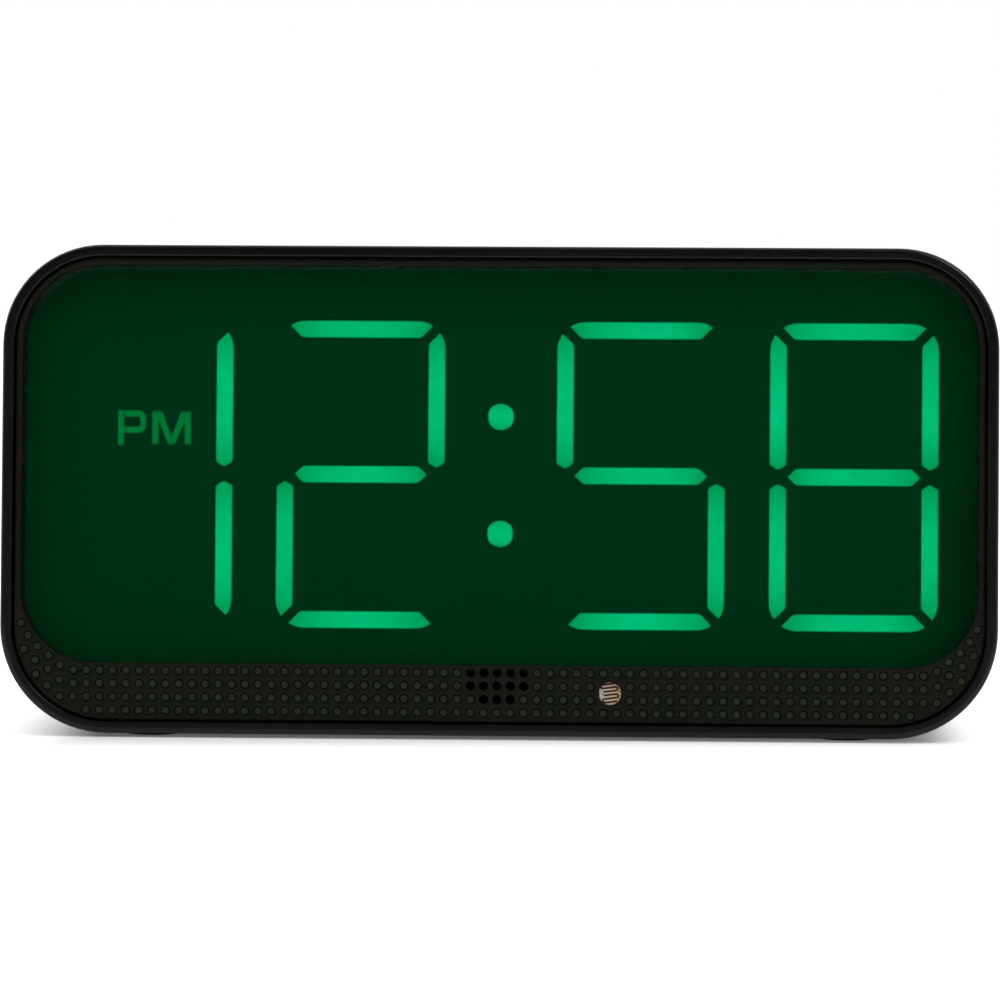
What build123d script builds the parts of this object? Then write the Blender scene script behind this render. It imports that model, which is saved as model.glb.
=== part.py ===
from build123d import *

import os
from math import cos, radians, sin, tan

# Digital LED desk clock, in millimetres. The origin is under the middle of the case on the desk,
# +X to the right of someone who reads the clock, +Y to the back and +Z up. The whole case leans back
# on its flat base, so most pieces are drawn on planes parallel to the face: across, up, and a depth
# behind the front of the rim.

# Case
case_width = 163.0
case_height = 80.0
case_depth = 46.0
lean_angle = 5.0
side_draft = 1.5
top_draft = 2.0
upper_radius = 16.4
lower_radius = 17.6
wall = 2.0
rim_band = 2.5
rim_face = 1.85
rim_edge_radius = 0.9
rim_lip_radius = 0.25
front_depth = 16.0
back_edge_radius = 4.0
desk_gap = 0.5
overrun = 1.0
fit = 0.3
seat_fit = 0.05

# Front panel and its window
groove = 0.45
panel_setback = 0.6
panel_thickness = 2.6
strip_width = 0.95
window_low = -28.43
window_upper_radius = 12.6
window_lower_radius = 12.0
frame_depth = 3.4

# Dimples of the panel
pitch = 2.17
dimple_radius = 0.77
dimple_depth = 0.8
dimple_sides = 8
row_tops = -29.69
row_reaches = (32, 32, 33, 31)
hole_reaches = (2, 2, 1)
sound_hole_radius = 0.65
sensor_hole_radius = 1.9
sensor_place = 8.5
curve_radii = (13.26, 15.4, 17.6)
curve_starts = (67.0, 70.0, 65.0)
curve_steps = (9.9, 9.3, 8.0)
curve_counts = (5, 4, 2)

# Lens stack and display
lens_thickness = 1.6
lens_side_overlap = 0.7
lens_low_overlap = 0.5
film_thickness = 0.25
film_gap = 0.05
film_margin = 0.3
flange_thickness = 1.5
reflector_thickness = 7.0
reflector_margin = 2.0
reflector_half_width = 73.5
display_up = 2.84
digit_height = 50.8
digit_width = 27.84
digit_corner_radius = 5.0
stroke = 2.88
mitre_across = 1.33
mitre_down = 1.04
point_rise = 0.89
point_gap = 1.17
bar_gap = 3.03
bar_point = 1.54
inner_digit_across = 23.08
outer_digit_across = 58.11
colon_radius = 2.2
colon_rise = 9.64
pm_across = -57.38
pm_rise = 7.55
pm_width = 13.0
pm_height = 6.8
pm_radius = 1.0
pane_thickness = 1.2
pane_fit = 0.03
chip_width = 1.4
chip_length = 2.6
chip_height = 0.7
chip_spacing = 10.0

# Boards
board_thickness = 1.6
board_gap = 0.05
board_half_width = 76.0
board_high = 34.5
board_low = -30.5
board_corner = 11.0
tab_left = -37.0
tab_right = 38.0
tab_low = -36.4
boss_radius = 2.6
pilot_radius = 1.25
board_boss_left = -32.0
board_boss_right = 33.0
board_boss_up = -33.4
main_depth = 31.0
main_half_width = 60.0
main_low = -20.0
main_high = 25.0
main_boss_across = 54.0
main_boss_low = -14.0
main_boss_high = 20.0
clock_chip_across = -18.0
clock_chip_up = 4.0
clock_chip_length = 18.0
clock_chip_width = 10.3
clock_chip_height = 2.4
driver_chip_across = 8.0
driver_chip_length = 12.8
driver_chip_width = 7.5
crystal_across = -18.0
crystal_up = -8.0
crystal_length = 11.0
crystal_width = 4.6
crystal_height = 3.4
capacitor_across = 28.0
capacitor_radius = 4.0
capacitor_height = 9.0
link_across = 0.0
link_up = -15.0
link_length = 40.6
link_width = 2.5

# Sounder and light sensor
sounder_width = 7.5
sounder_tall = 6.4
sounder_height = 2.5
sounder_up = -32.9
sounder_port_radius = 1.5
gasket_wall = 0.5
gasket_width = 11.4
gasket_height = 7.6
web_window_half = 5.2
web_window_high = -29.1
web_window_low = -36.0
sensor_radius = 2.55
sensor_thickness = 2.0
sensor_flat = 2.1
sensor_setback = 0.2
sensor_well_radius = 3.1
lead_radius = 0.25
lead_spread = 1.7

# Keys on top
key_depth_place = 28.5
snooze_width = 62.0
key_length = 14.0
key_width = 9.0
key_places = (-59.0, -45.0, 45.0, 59.0)
key_corner = 2.0
key_rise = 1.2
key_crown = 0.6
key_flange = 1.0
key_flange_thickness = 1.0
key_flange_gap = 0.1
key_stem = 1.5
key_stem_radius = 2.6
plunger_radius = 1.75
plunger_rise = 1.0
plunger_sink = 1.2
plunger_fit = 0.1
switch_width = 6.0
switch_height = 3.5
bore_depth = 2.0
key_board_half_width = 66.0
key_board_half_length = 8.6
key_post_across = 36.5
key_post_along = 6.0
key_post_radius = 2.2

# Alarm switch on the back
alarm_across = -44.0
alarm_up = 6.0
alarm_travel = 4.0
grip_width = 7.0
grip_height = 6.0
recess_width = 19.0
recess_height = 10.0
recess_depth = 1.0
recess_radius = 1.5
slider_width = 22.0
slider_height = 10.0
slider_thickness = 1.0
lever_width = 3.0
lever_height = 2.6
lever_sink = 1.5
grip_groove = 0.6
grip_grooves = 5
alarm_body_width = 15.0
alarm_body_height = 7.0
alarm_body_depth = 5.5

# Power inlet on the back
jack_across = 48.0
jack_up = -4.0
jack_body_width = 9.0
jack_body_height = 10.0
jack_nose_radius = 4.2
jack_bore_radius = 3.1
jack_bore_depth = 9.5
jack_pin_radius = 1.0
jack_pin_setback = 1.0
jack_hole_fit = 0.15

# Backup battery, two small cells side by side in a box that opens downwards
cell_radius = 5.25
cell_length = 44.5
cell_tip_radius = 1.9
cell_tip_length = 0.9
cell_gap = 0.2
spring_space = 5.5
plate_space = 1.2
box_wall = 1.2
box_height = 12.2
box_front = -6.0
door_thickness = 1.6
door_fit = 0.3
door_tab_length = 1.4
door_tab_thickness = 0.8
door_tab_root = 1.0
door_tab_width = 5.0
door_tab_along = 6.0
door_slot_height = 5.0
door_ledge = 0.9
latch_width = 9.0
latch_length = 6.0
latch_slot = 1.0
spring_wire = 0.45
spring_low_radius = 3.6
spring_high_radius = 2.2
plate_thickness = 0.4
plate_half_height = 3.5

# Feet, screws and hooks
foot_radius = 4.5
foot_sink = 0.7
foot_across = 57.0
foot_front = -17.0
foot_back = 12.5
screw_radius = 1.2
screw_hole_radius = 1.5
screw_head_radius = 2.3
screw_head_height = 1.4
screw_recess_radius = 0.8
screw_recess_depth = 0.8
screw_length = 6.0
case_screw_across = 50.0
case_screw_back = 6.2
tongue_width = 12.0
tongue_thickness = 1.5
tongue_boss_height = 5.0
tongue_front = 8.0
hook_across = 40.0
hook_width = 10.0
hook_thickness = 1.2
hook_reach = 4.5
hook_nib = 0.8
hook_nib_length = 1.4
lip_thickness = 0.9
lip_length = 2.0
lip_root = 2.5
notch_half = 57.0
notch_height = 6.0
rib_thickness = 1.6
rib_across = 70.0
rib_height = 6.0

# The face leans back. Its plane passes through the middle of the rim's front.
lean = radians(lean_angle)
back_high = case_height / 2 - (case_depth - rim_band) * tan(radians(top_draft))
face_z = desk_gap + case_height / 2 * cos(lean) + rim_band * sin(lean)
front_reach = (case_height / 2 - rim_edge_radius) * sin(lean) + rim_edge_radius * (1 - cos(lean))
back_reach = (
    (back_high - back_edge_radius) * sin(lean)
    + (case_depth - back_edge_radius) * cos(lean)
    + back_edge_radius
)
face_y = (front_reach - back_reach) / 2
face = Plane(origin=(0, face_y, face_z), x_dir=(1, 0, 0), z_dir=(0, -cos(lean), sin(lean)))
outward = Axis(face.origin, face.z_dir)
# In section the first direction is depth and the second is up.
section = Plane(origin=face.origin, x_dir=(0, cos(lean), -sin(lean)), z_dir=(1, 0, 0))
base = Plane(origin=(0, 0, desk_gap))


def at_depth(depth):
    """The plane parallel to the face at a depth behind the front of the rim."""
    return face.offset(-depth)


def place(across, up, depth):
    """The point of the model at a place given on the leaning face."""
    return face.from_local_coords((across, up, -depth))


def rounded_outline(sketch, width, low, high, low_radius, high_radius):
    """A rectangle between two heights, with its own radius at the lower and at the upper corners."""
    with Locations((0, (low + high) / 2)):
        Rectangle(width, high - low)
    fillet(sketch.vertices().group_by(Axis.Y)[0], low_radius)
    fillet(sketch.vertices().group_by(Axis.Y)[-1], high_radius)


def case_edge(depth, inset):
    """Width, low, high and radii of the case at a depth, drawn in by an inset."""
    run = max(depth - rim_band, 0)
    return (
        case_width - 2 * run * tan(radians(side_draft)) - 2 * inset,
        -case_height / 2 + run * tan(lean) + inset,
        case_height / 2 - run * tan(radians(top_draft)) - inset,
        lower_radius - inset,
        upper_radius - inset,
    )


def case_loft(front, back, inset, mode=Mode.ADD):
    """The drafted body of the case between two depths, drawn in by an inset."""
    with BuildSketch(at_depth(front)) as near:
        rounded_outline(near, *case_edge(front, inset))
    with BuildSketch(at_depth(back)) as far:
        rounded_outline(far, *case_edge(back, inset))
    loft([near.sketch, far.sketch], ruled=True, mode=mode)


panel_inset = rim_face + groove
panel_back = panel_setback + panel_thickness
window_half = case_width / 2 - panel_inset - strip_width
window_high = case_height / 2 - panel_inset - strip_width
lens_front = panel_back + frame_depth
lens_back = lens_front + lens_thickness
film_back = lens_back + film_gap + film_thickness
reflector_front = film_back + film_gap
reflector_back = reflector_front + reflector_thickness
display_depth = reflector_back + board_gap
display_back = display_depth + board_thickness


def window_outline(sketch, side, low, radius_change):
    """The window's outline, grown at the sides and the top by one margin and below by another."""
    rounded_outline(
        sketch,
        2 * (window_half + side),
        window_low - low,
        window_high + side,
        window_lower_radius + radius_change,
        window_upper_radius + radius_change,
    )


# Front half of the case: rim, panel seat, window frame, bosses and the two tongues underneath.
tongue_low = base.offset(wall)
tongue_y = face_y - case_height / 2 * sin(lean) + front_depth * cos(lean)
with BuildPart() as front_shell:
    with BuildSketch(face) as rim_outline:
        rounded_outline(rim_outline, *case_edge(0, 0))
    extrude(amount=-rim_band)
    fillet(front_shell.faces().sort_by(outward)[-1].edges(), rim_edge_radius)
    case_loft(rim_band, front_depth, 0)
    with BuildSketch(face) as seat_outline:
        rounded_outline(seat_outline, *case_edge(0, rim_face))
    extrude(amount=-panel_back, mode=Mode.SUBTRACT)
    fillet(front_shell.faces().sort_by(outward)[-1].inner_wires()[0].edges(), rim_lip_radius)
    with BuildSketch(at_depth(panel_back - overrun)) as opening:
        window_outline(opening, 0, 0, 0)
    extrude(amount=-(frame_depth + 2 * overrun), mode=Mode.SUBTRACT)
    case_loft(lens_front, front_depth, wall, Mode.SUBTRACT)
    with BuildSketch(at_depth(lens_front - seat_fit)):
        with Locations((board_boss_left, board_boss_up), (board_boss_right, board_boss_up)):
            Circle(boss_radius)
            Circle(pilot_radius, mode=Mode.SUBTRACT)
    extrude(amount=-(display_depth - lens_front))
    with BuildSketch(at_depth(panel_back - overrun)):
        with Locations((0, (web_window_high + web_window_low) / 2)):
            RectangleRounded(2 * web_window_half, web_window_high - web_window_low, key_corner)
        with Locations((sensor_place * pitch, row_tops - 3 * pitch / 2)):
            Circle(sensor_well_radius)
    extrude(amount=-(frame_depth + 2 * overrun), mode=Mode.SUBTRACT)
    for side in (-1, 1):
        with BuildSketch(section.offset(side * hook_across - hook_width / 2 - fit)):
            with Locations((front_depth - hook_reach + hook_nib_length / 2, case_edge(front_depth, wall)[2])):
                Rectangle(hook_nib_length + 2 * fit, 2 * (hook_nib + fit))
        extrude(amount=hook_width + 2 * fit, mode=Mode.SUBTRACT)
    for side in (-1, 1):
        with BuildSketch(tongue_low.offset(seat_fit)):
            with Locations((side * case_screw_across, tongue_y - tongue_front / 2 + case_screw_back)):
                Rectangle(tongue_width, tongue_front + 2 * case_screw_back)
        extrude(amount=tongue_thickness)
        with BuildSketch(tongue_low.offset(-seat_fit)):
            with Locations((side * case_screw_across, tongue_y - tongue_front + overrun)):
                Rectangle(tongue_width, 2 * overrun)
        extrude(amount=tongue_thickness)
        with BuildSketch(tongue_low.offset(seat_fit)):
            with Locations((side * case_screw_across, tongue_y + case_screw_back)):
                Circle(boss_radius)
        extrude(amount=tongue_thickness + tongue_boss_height)
        with BuildSketch(tongue_low):
            with Locations((side * case_screw_across, tongue_y + case_screw_back)):
                Circle(pilot_radius)
        extrude(amount=tongue_thickness + tongue_boss_height - seat_fit, mode=Mode.SUBTRACT)
    with BuildSketch(base):
        with Locations((-foot_across, foot_front), (foot_across, foot_front)):
            Circle(foot_radius + seat_fit)
    extrude(amount=foot_sink, mode=Mode.SUBTRACT)
front_shell.part.label = "front_shell"

# Inset front panel with its window, the blind dimples, the sound holes and the sensor hole.
rows = [
    [(column * pitch, row_tops - row * pitch) for column in range(-reach, reach + 1)]
    for row, reach in enumerate(row_reaches)
]
sound_holes = [
    (column * pitch, row_tops - row * pitch)
    for row, reach in enumerate(hole_reaches)
    for column in range(-reach, reach + 1)
]
sensor_centre = (sensor_place * pitch, row_tops - 3 * pitch / 2)
corner_centre = (window_half - window_lower_radius, window_low + window_lower_radius)
curved = [
    (side * (corner_centre[0] + radius * cos(angle)), corner_centre[1] - radius * sin(angle))
    for radius, start, step, count in zip(curve_radii, curve_starts, curve_steps, curve_counts)
    for angle in [radians(start - step * index) for index in range(count)]
    for side in (-1, 1)
]
clear_of_sensor = [
    spot
    for row in rows
    for spot in row
    if abs(spot[0] - sensor_centre[0]) > pitch or abs(spot[1] - sensor_centre[1]) > pitch
]
dimples = [spot for spot in clear_of_sensor if spot not in sound_holes] + curved


def window_cut():
    """Take the window out of a sketch of the panel."""
    with BuildSketch(mode=Mode.PRIVATE) as opening:
        window_outline(opening, 0, 0, 0)
    add(opening.sketch, mode=Mode.SUBTRACT)


def panel_holes():
    """Take the sound holes and the sensor hole out of a sketch of the panel."""
    with Locations(*sound_holes):
        Circle(sound_hole_radius, mode=Mode.SUBTRACT)
    with Locations(sensor_centre):
        Circle(sensor_hole_radius, mode=Mode.SUBTRACT)


with BuildPart() as front_panel:
    with BuildSketch(at_depth(panel_setback)) as dimpled_face:
        rounded_outline(dimpled_face, *case_edge(0, panel_inset))
        window_cut()
        panel_holes()
        with Locations(*dimples):
            RegularPolygon(dimple_radius, dimple_sides, mode=Mode.SUBTRACT)
    extrude(amount=-dimple_depth, clean=False)
    with BuildSketch(at_depth(panel_setback + dimple_depth)) as panel_floor:
        rounded_outline(panel_floor, *case_edge(0, panel_inset))
        window_cut()
        panel_holes()
    extrude(amount=-(panel_thickness - dimple_depth), clean=False)
front_panel.part.label = "front_panel"

# Lens and film behind the window.
with BuildPart() as display_lens:
    with BuildSketch(at_depth(lens_front)) as lens_outline:
        window_outline(lens_outline, lens_side_overlap, lens_low_overlap, lens_side_overlap)
    extrude(amount=-lens_thickness)
display_lens.part.label = "display_lens"

with BuildPart() as diffuser_sheet:
    with BuildSketch(at_depth(lens_back + film_gap)) as film_outline:
        window_outline(film_outline, film_margin, film_margin, film_margin)
    extrude(amount=-film_thickness)
diffuser_sheet.part.label = "diffuser_sheet"

# Seven-segment outlines, named a to g from the top round to the middle, as on any such digit.
digit_left = -digit_width / 2
digit_top = digit_height / 2
with BuildSketch() as cap:
    Polygon(
        (digit_left + mitre_across, digit_top),
        (digit_left + mitre_across + stroke, digit_top - stroke),
        (-digit_left - mitre_across - stroke, digit_top - stroke),
        (-digit_left - mitre_across, digit_top),
        align=None,
    )
    RectangleRounded(digit_width, digit_height, digit_corner_radius, mode=Mode.INTERSECT)
with BuildSketch() as upright:
    Polygon(
        (digit_left, digit_top - mitre_down),
        (digit_left, point_gap + point_rise),
        (digit_left + stroke / 2, point_gap),
        (digit_left + stroke, point_gap + point_rise),
        (digit_left + stroke, digit_top - mitre_down - stroke),
        align=None,
    )
    RectangleRounded(digit_width, digit_height, digit_corner_radius, mode=Mode.INTERSECT)
with BuildSketch() as bar:
    Polygon(
        (digit_left + bar_gap, 0),
        (digit_left + bar_gap + bar_point, stroke / 2),
        (-digit_left - bar_gap - bar_point, stroke / 2),
        (-digit_left - bar_gap, 0),
        (-digit_left - bar_gap - bar_point, -stroke / 2),
        (digit_left + bar_gap + bar_point, -stroke / 2),
        align=None,
    )
right_upright = mirror(upright.sketch, about=Plane.YZ)
segment_shapes = {
    "a": cap.sketch,
    "b": right_upright,
    "c": mirror(right_upright, about=Plane.XZ),
    "d": mirror(cap.sketch, about=Plane.XZ),
    "e": mirror(upright.sketch, about=Plane.XZ),
    "f": upright.sketch,
    "g": bar.sketch,
}
upright_across = digit_width / 2 - stroke / 2
upright_up = digit_height / 4
segment_middles = {
    "a": (0, digit_height / 2 - stroke / 2),
    "b": (upright_across, upright_up),
    "c": (upright_across, -upright_up),
    "d": (0, stroke / 2 - digit_height / 2),
    "e": (-upright_across, -upright_up),
    "f": (-upright_across, upright_up),
    "g": (0, 0),
}
lit_segments = {
    -outer_digit_across: "bc",
    -inner_digit_across: "abged",
    inner_digit_across: "afgcd",
    outer_digit_across: "abcdefg",
}
dark_segments = {-inner_digit_across: "fc", inner_digit_across: "be"}
colon_places = [(0, display_up - colon_rise), (0, display_up + colon_rise)]
pm_place = (pm_across, display_up + pm_rise)




def draw_segments(digits):
    """Add the named segments of each digit to the sketch."""
    for across, names in digits.items():
        with Locations((across, display_up)):
            for name in names:
                add(segment_shapes[name])


# Reflector block with a cavity through it for every segment, dot and sign.
with BuildPart() as led_reflector:
    with BuildSketch(at_depth(reflector_front)) as flange_outline:
        window_outline(flange_outline, film_margin, film_margin, film_margin)
    extrude(amount=-flange_thickness)
    with BuildSketch(at_depth(reflector_front)):
        with Locations((0, display_up)):
            Rectangle(2 * reflector_half_width, digit_height + 2 * reflector_margin)
    extrude(amount=-reflector_thickness)
    with BuildSketch(at_depth(reflector_front)):
        draw_segments(lit_segments)
        draw_segments(dark_segments)
        with Locations(*colon_places):
            Circle(colon_radius)
        with Locations(pm_place):
            RectangleRounded(pm_width, pm_height, pm_radius)
    extrude(amount=-reflector_thickness, mode=Mode.SUBTRACT)
led_reflector.part.label = "led_reflector"

# The light windows that close the cavities at the front, lit ones apart from dark ones.
with BuildPart() as segments_lit:
    with BuildSketch(at_depth(reflector_front)):
        draw_segments(lit_segments)
    extrude(amount=-pane_thickness)
segments_lit.part.label = "segments_lit"

with BuildPart() as segments_unlit:
    with BuildSketch(at_depth(reflector_front)):
        draw_segments(dark_segments)
    extrude(amount=-pane_thickness)
segments_unlit.part.label = "segments_unlit"

with BuildPart() as colon_dots:
    with BuildSketch(at_depth(reflector_front)):
        with Locations(*colon_places):
            Circle(colon_radius - pane_fit)
    extrude(amount=-pane_thickness)
colon_dots.part.label = "colon_dots"

with BuildPart() as pm_window:
    with BuildSketch(at_depth(reflector_front)):
        with Locations(pm_place):
            RectangleRounded(pm_width - 2 * pane_fit, pm_height - 2 * pane_fit, pm_radius)
    extrude(amount=-pane_thickness)
pm_window.part.label = "pm_window"

# Display board with a tab under the window for the sounder and the sensor, and its chips.
sensor_leads = [(sensor_centre[0] + side * lead_spread, sensor_centre[1]) for side in (-1, 1)]
board_bosses = [(board_boss_left, board_boss_up), (board_boss_right, board_boss_up)]
with BuildPart() as display_board:
    with BuildSketch(at_depth(display_depth)) as board_outline:
        rounded_outline(
            board_outline, 2 * board_half_width, board_low, board_high, board_corner, board_corner
        )
        with Locations(((tab_left + tab_right) / 2, (board_low + tab_low) / 2 + overrun)):
            Rectangle(tab_right - tab_left, board_low - tab_low + 2 * overrun)
        with Locations(*sensor_leads):
            Circle(lead_radius + seat_fit, mode=Mode.SUBTRACT)
        with Locations(*board_bosses):
            Circle(screw_hole_radius, mode=Mode.SUBTRACT)
    extrude(amount=-board_thickness)
display_board.part.label = "display_board"

with BuildPart() as led_chips:
    with BuildSketch(at_depth(display_depth)):
        for digits in (lit_segments, dark_segments):
            for across, names in digits.items():
                for name in names:
                    middle = segment_middles[name]
                    with Locations((across + middle[0], display_up + middle[1])):
                        if name in "adg":
                            Rectangle(chip_length, chip_width)
                        else:
                            Rectangle(chip_width, chip_length)
        with Locations(*colon_places, pm_place):
            Rectangle(chip_length, chip_width)
    extrude(amount=chip_height)
led_chips.part.label = "led_chips"

# Sounder on the display board and the foam tube that leads it to the sound holes.
with BuildPart() as sounder:
    with BuildSketch(at_depth(display_depth)):
        with Locations((0, sounder_up)):
            Rectangle(sounder_width, sounder_tall)
    extrude(amount=sounder_height)
    with BuildSketch(at_depth(display_depth - sounder_height)):
        with Locations((0, sounder_up)):
            Circle(sounder_port_radius)
    extrude(amount=-sounder_height / 2, mode=Mode.SUBTRACT)
sounder.part.label = "sounder"

with BuildPart() as sounder_gasket:
    with BuildSketch(at_depth(lens_front)):
        with Locations((0, sounder_up)):
            Rectangle(gasket_width, gasket_height)
            Rectangle(gasket_width - 2 * gasket_wall, gasket_height - 2 * gasket_wall, mode=Mode.SUBTRACT)
    extrude(amount=-(display_depth - sounder_height / 2 - lens_front))
    with BuildSketch(at_depth(display_depth - sounder_height)):
        with Locations((0, sounder_up)):
            Rectangle(gasket_width, gasket_height)
            Rectangle(sounder_width, sounder_tall, mode=Mode.SUBTRACT)
    extrude(amount=-sounder_height / 2)
sounder_gasket.part.label = "sounder_gasket"

# Light sensor: a disc cut flat at two sides, on two leads that reach the board.
sensor_front = panel_back + sensor_setback
with BuildPart() as photoresistor:
    with BuildSketch(at_depth(sensor_front)):
        with Locations(sensor_centre):
            Circle(sensor_radius)
            Rectangle(2 * sensor_radius, 2 * sensor_flat, mode=Mode.INTERSECT)
    extrude(amount=-sensor_thickness)
    with BuildSketch(at_depth(sensor_front + sensor_thickness)):
        with Locations(*sensor_leads):
            Circle(lead_radius)
    extrude(amount=-(display_back - sensor_front - sensor_thickness))
photoresistor.part.label = "photoresistor"

# Key stack on the sloping top of the rear shell, measured down from that surface.
slope = lean + radians(top_draft)
top_up = case_edge(key_depth_place, 0)[2]
top = Plane(
    origin=place(0, top_up, key_depth_place), x_dir=(1, 0, 0), z_dir=(0, sin(slope), cos(slope))
)
flange_top = wall + key_flange_gap
stem_top = flange_top + key_flange_thickness
plunger_top = stem_top + key_stem
housing_top = plunger_top + plunger_rise
key_board_top = housing_top + switch_height
keys = {
    "snooze": (0, snooze_width),
    "hour": (key_places[0], key_width),
    "minute": (key_places[1], key_width),
    "time": (key_places[2], key_width),
    "alarm": (key_places[3], key_width),
}
switch_places = [(across, 0) for across, _ in keys.values()]
key_posts = GridLocations(2 * key_post_across, 2 * key_post_along, 2, 2).locations


def key_cap(name, label):
    """A key: crowned cap through the case, a flange that keeps it in and a stem on its switch."""
    across, width = keys[name]
    with BuildPart() as cap_piece:
        with BuildSketch(top.offset(-stem_top)):
            with Locations((across, 0)):
                RectangleRounded(width + 2 * key_flange, key_length + 2 * key_flange, key_corner)
        extrude(amount=key_flange_thickness)
        with BuildSketch(top.offset(-flange_top)):
            with Locations((across, 0)):
                RectangleRounded(width, key_length, key_corner)
        extrude(amount=flange_top + key_rise)
        fillet(cap_piece.faces().sort_by(Axis(top.origin, top.z_dir))[-1].edges(), key_crown)
        with BuildSketch(top.offset(-stem_top)):
            with Locations((across, 0)):
                Circle(key_stem_radius)
        extrude(amount=-key_stem)
    cap_piece.part.label = label
    return cap_piece.part


def key_plunger(name, label):
    """The plunger of a key's switch, which runs in the bore of its housing."""
    with BuildPart() as plunger:
        with BuildSketch(top.offset(-plunger_top)):
            with Locations((keys[name][0], 0)):
                Circle(plunger_radius)
        extrude(amount=-(plunger_rise + plunger_sink))
    plunger.part.label = label
    return plunger.part


key_parts = {}
for name in keys:
    cap_name = "snooze_bar" if name == "snooze" else name + "_key"
    key_parts[cap_name] = key_cap(name, cap_name)
    key_parts[name + "_plunger"] = key_plunger(name, name + "_plunger")

with BuildPart() as switch_housings:
    with BuildSketch(top.offset(-key_board_top)):
        with Locations(*switch_places):
            Rectangle(switch_width, switch_width)
    extrude(amount=switch_height)
    with BuildSketch(top.offset(-housing_top)):
        with Locations(*switch_places):
            Circle(plunger_radius + plunger_fit)
    extrude(amount=-bore_depth, mode=Mode.SUBTRACT)
switch_housings.part.label = "switch_housings"

with BuildPart() as key_board:
    with BuildSketch(top.offset(-key_board_top)):
        RectangleRounded(2 * key_board_half_width, 2 * key_board_half_length, key_corner)
        with Locations(*key_posts):
            Circle(screw_hole_radius, mode=Mode.SUBTRACT)
    extrude(amount=-board_thickness)
key_board.part.label = "key_board"

# Main board, parallel to the face, with its chips, and the link to the display board.
main_bosses = [
    (side * main_boss_across, up) for side in (-1, 1) for up in (main_boss_low, main_boss_high)
]
main_back = main_depth + board_thickness
with BuildPart() as main_board:
    with BuildSketch(at_depth(main_depth)):
        with Locations((0, (main_low + main_high) / 2)):
            Rectangle(2 * main_half_width, main_high - main_low)
        with Locations(*main_bosses):
            Circle(screw_hole_radius, mode=Mode.SUBTRACT)
    extrude(amount=-board_thickness)
main_board.part.label = "main_board"


def on_main_board(across, up, width, height, thickness, label):
    """A flat part that stands on the front of the main board."""
    with BuildPart() as piece:
        with BuildSketch(at_depth(main_depth)):
            with Locations((across, up)):
                Rectangle(width, height)
        extrude(amount=thickness)
    piece.part.label = label
    return piece.part


clock_chip = on_main_board(
    clock_chip_across, clock_chip_up, clock_chip_length, clock_chip_width, clock_chip_height, "clock_chip"
)
driver_chip = on_main_board(
    driver_chip_across, clock_chip_up, driver_chip_length, driver_chip_width, clock_chip_height, "driver_chip"
)

with BuildPart() as crystal_can:
    with BuildSketch(at_depth(main_depth)):
        with Locations((crystal_across, crystal_up)):
            SlotOverall(crystal_length, crystal_width)
    extrude(amount=crystal_height)
crystal_can.part.label = "crystal_can"

with BuildPart() as capacitor:
    with BuildSketch(at_depth(main_depth)):
        with Locations((capacitor_across, clock_chip_up)):
            Circle(capacitor_radius)
    extrude(amount=capacitor_height)
capacitor.part.label = "capacitor"

with BuildPart() as board_link:
    with BuildSketch(at_depth(display_back)):
        with Locations((link_across, link_up)):
            Rectangle(link_length, link_width)
    extrude(amount=-(main_depth - display_back))
board_link.part.label = "board_link"

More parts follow.
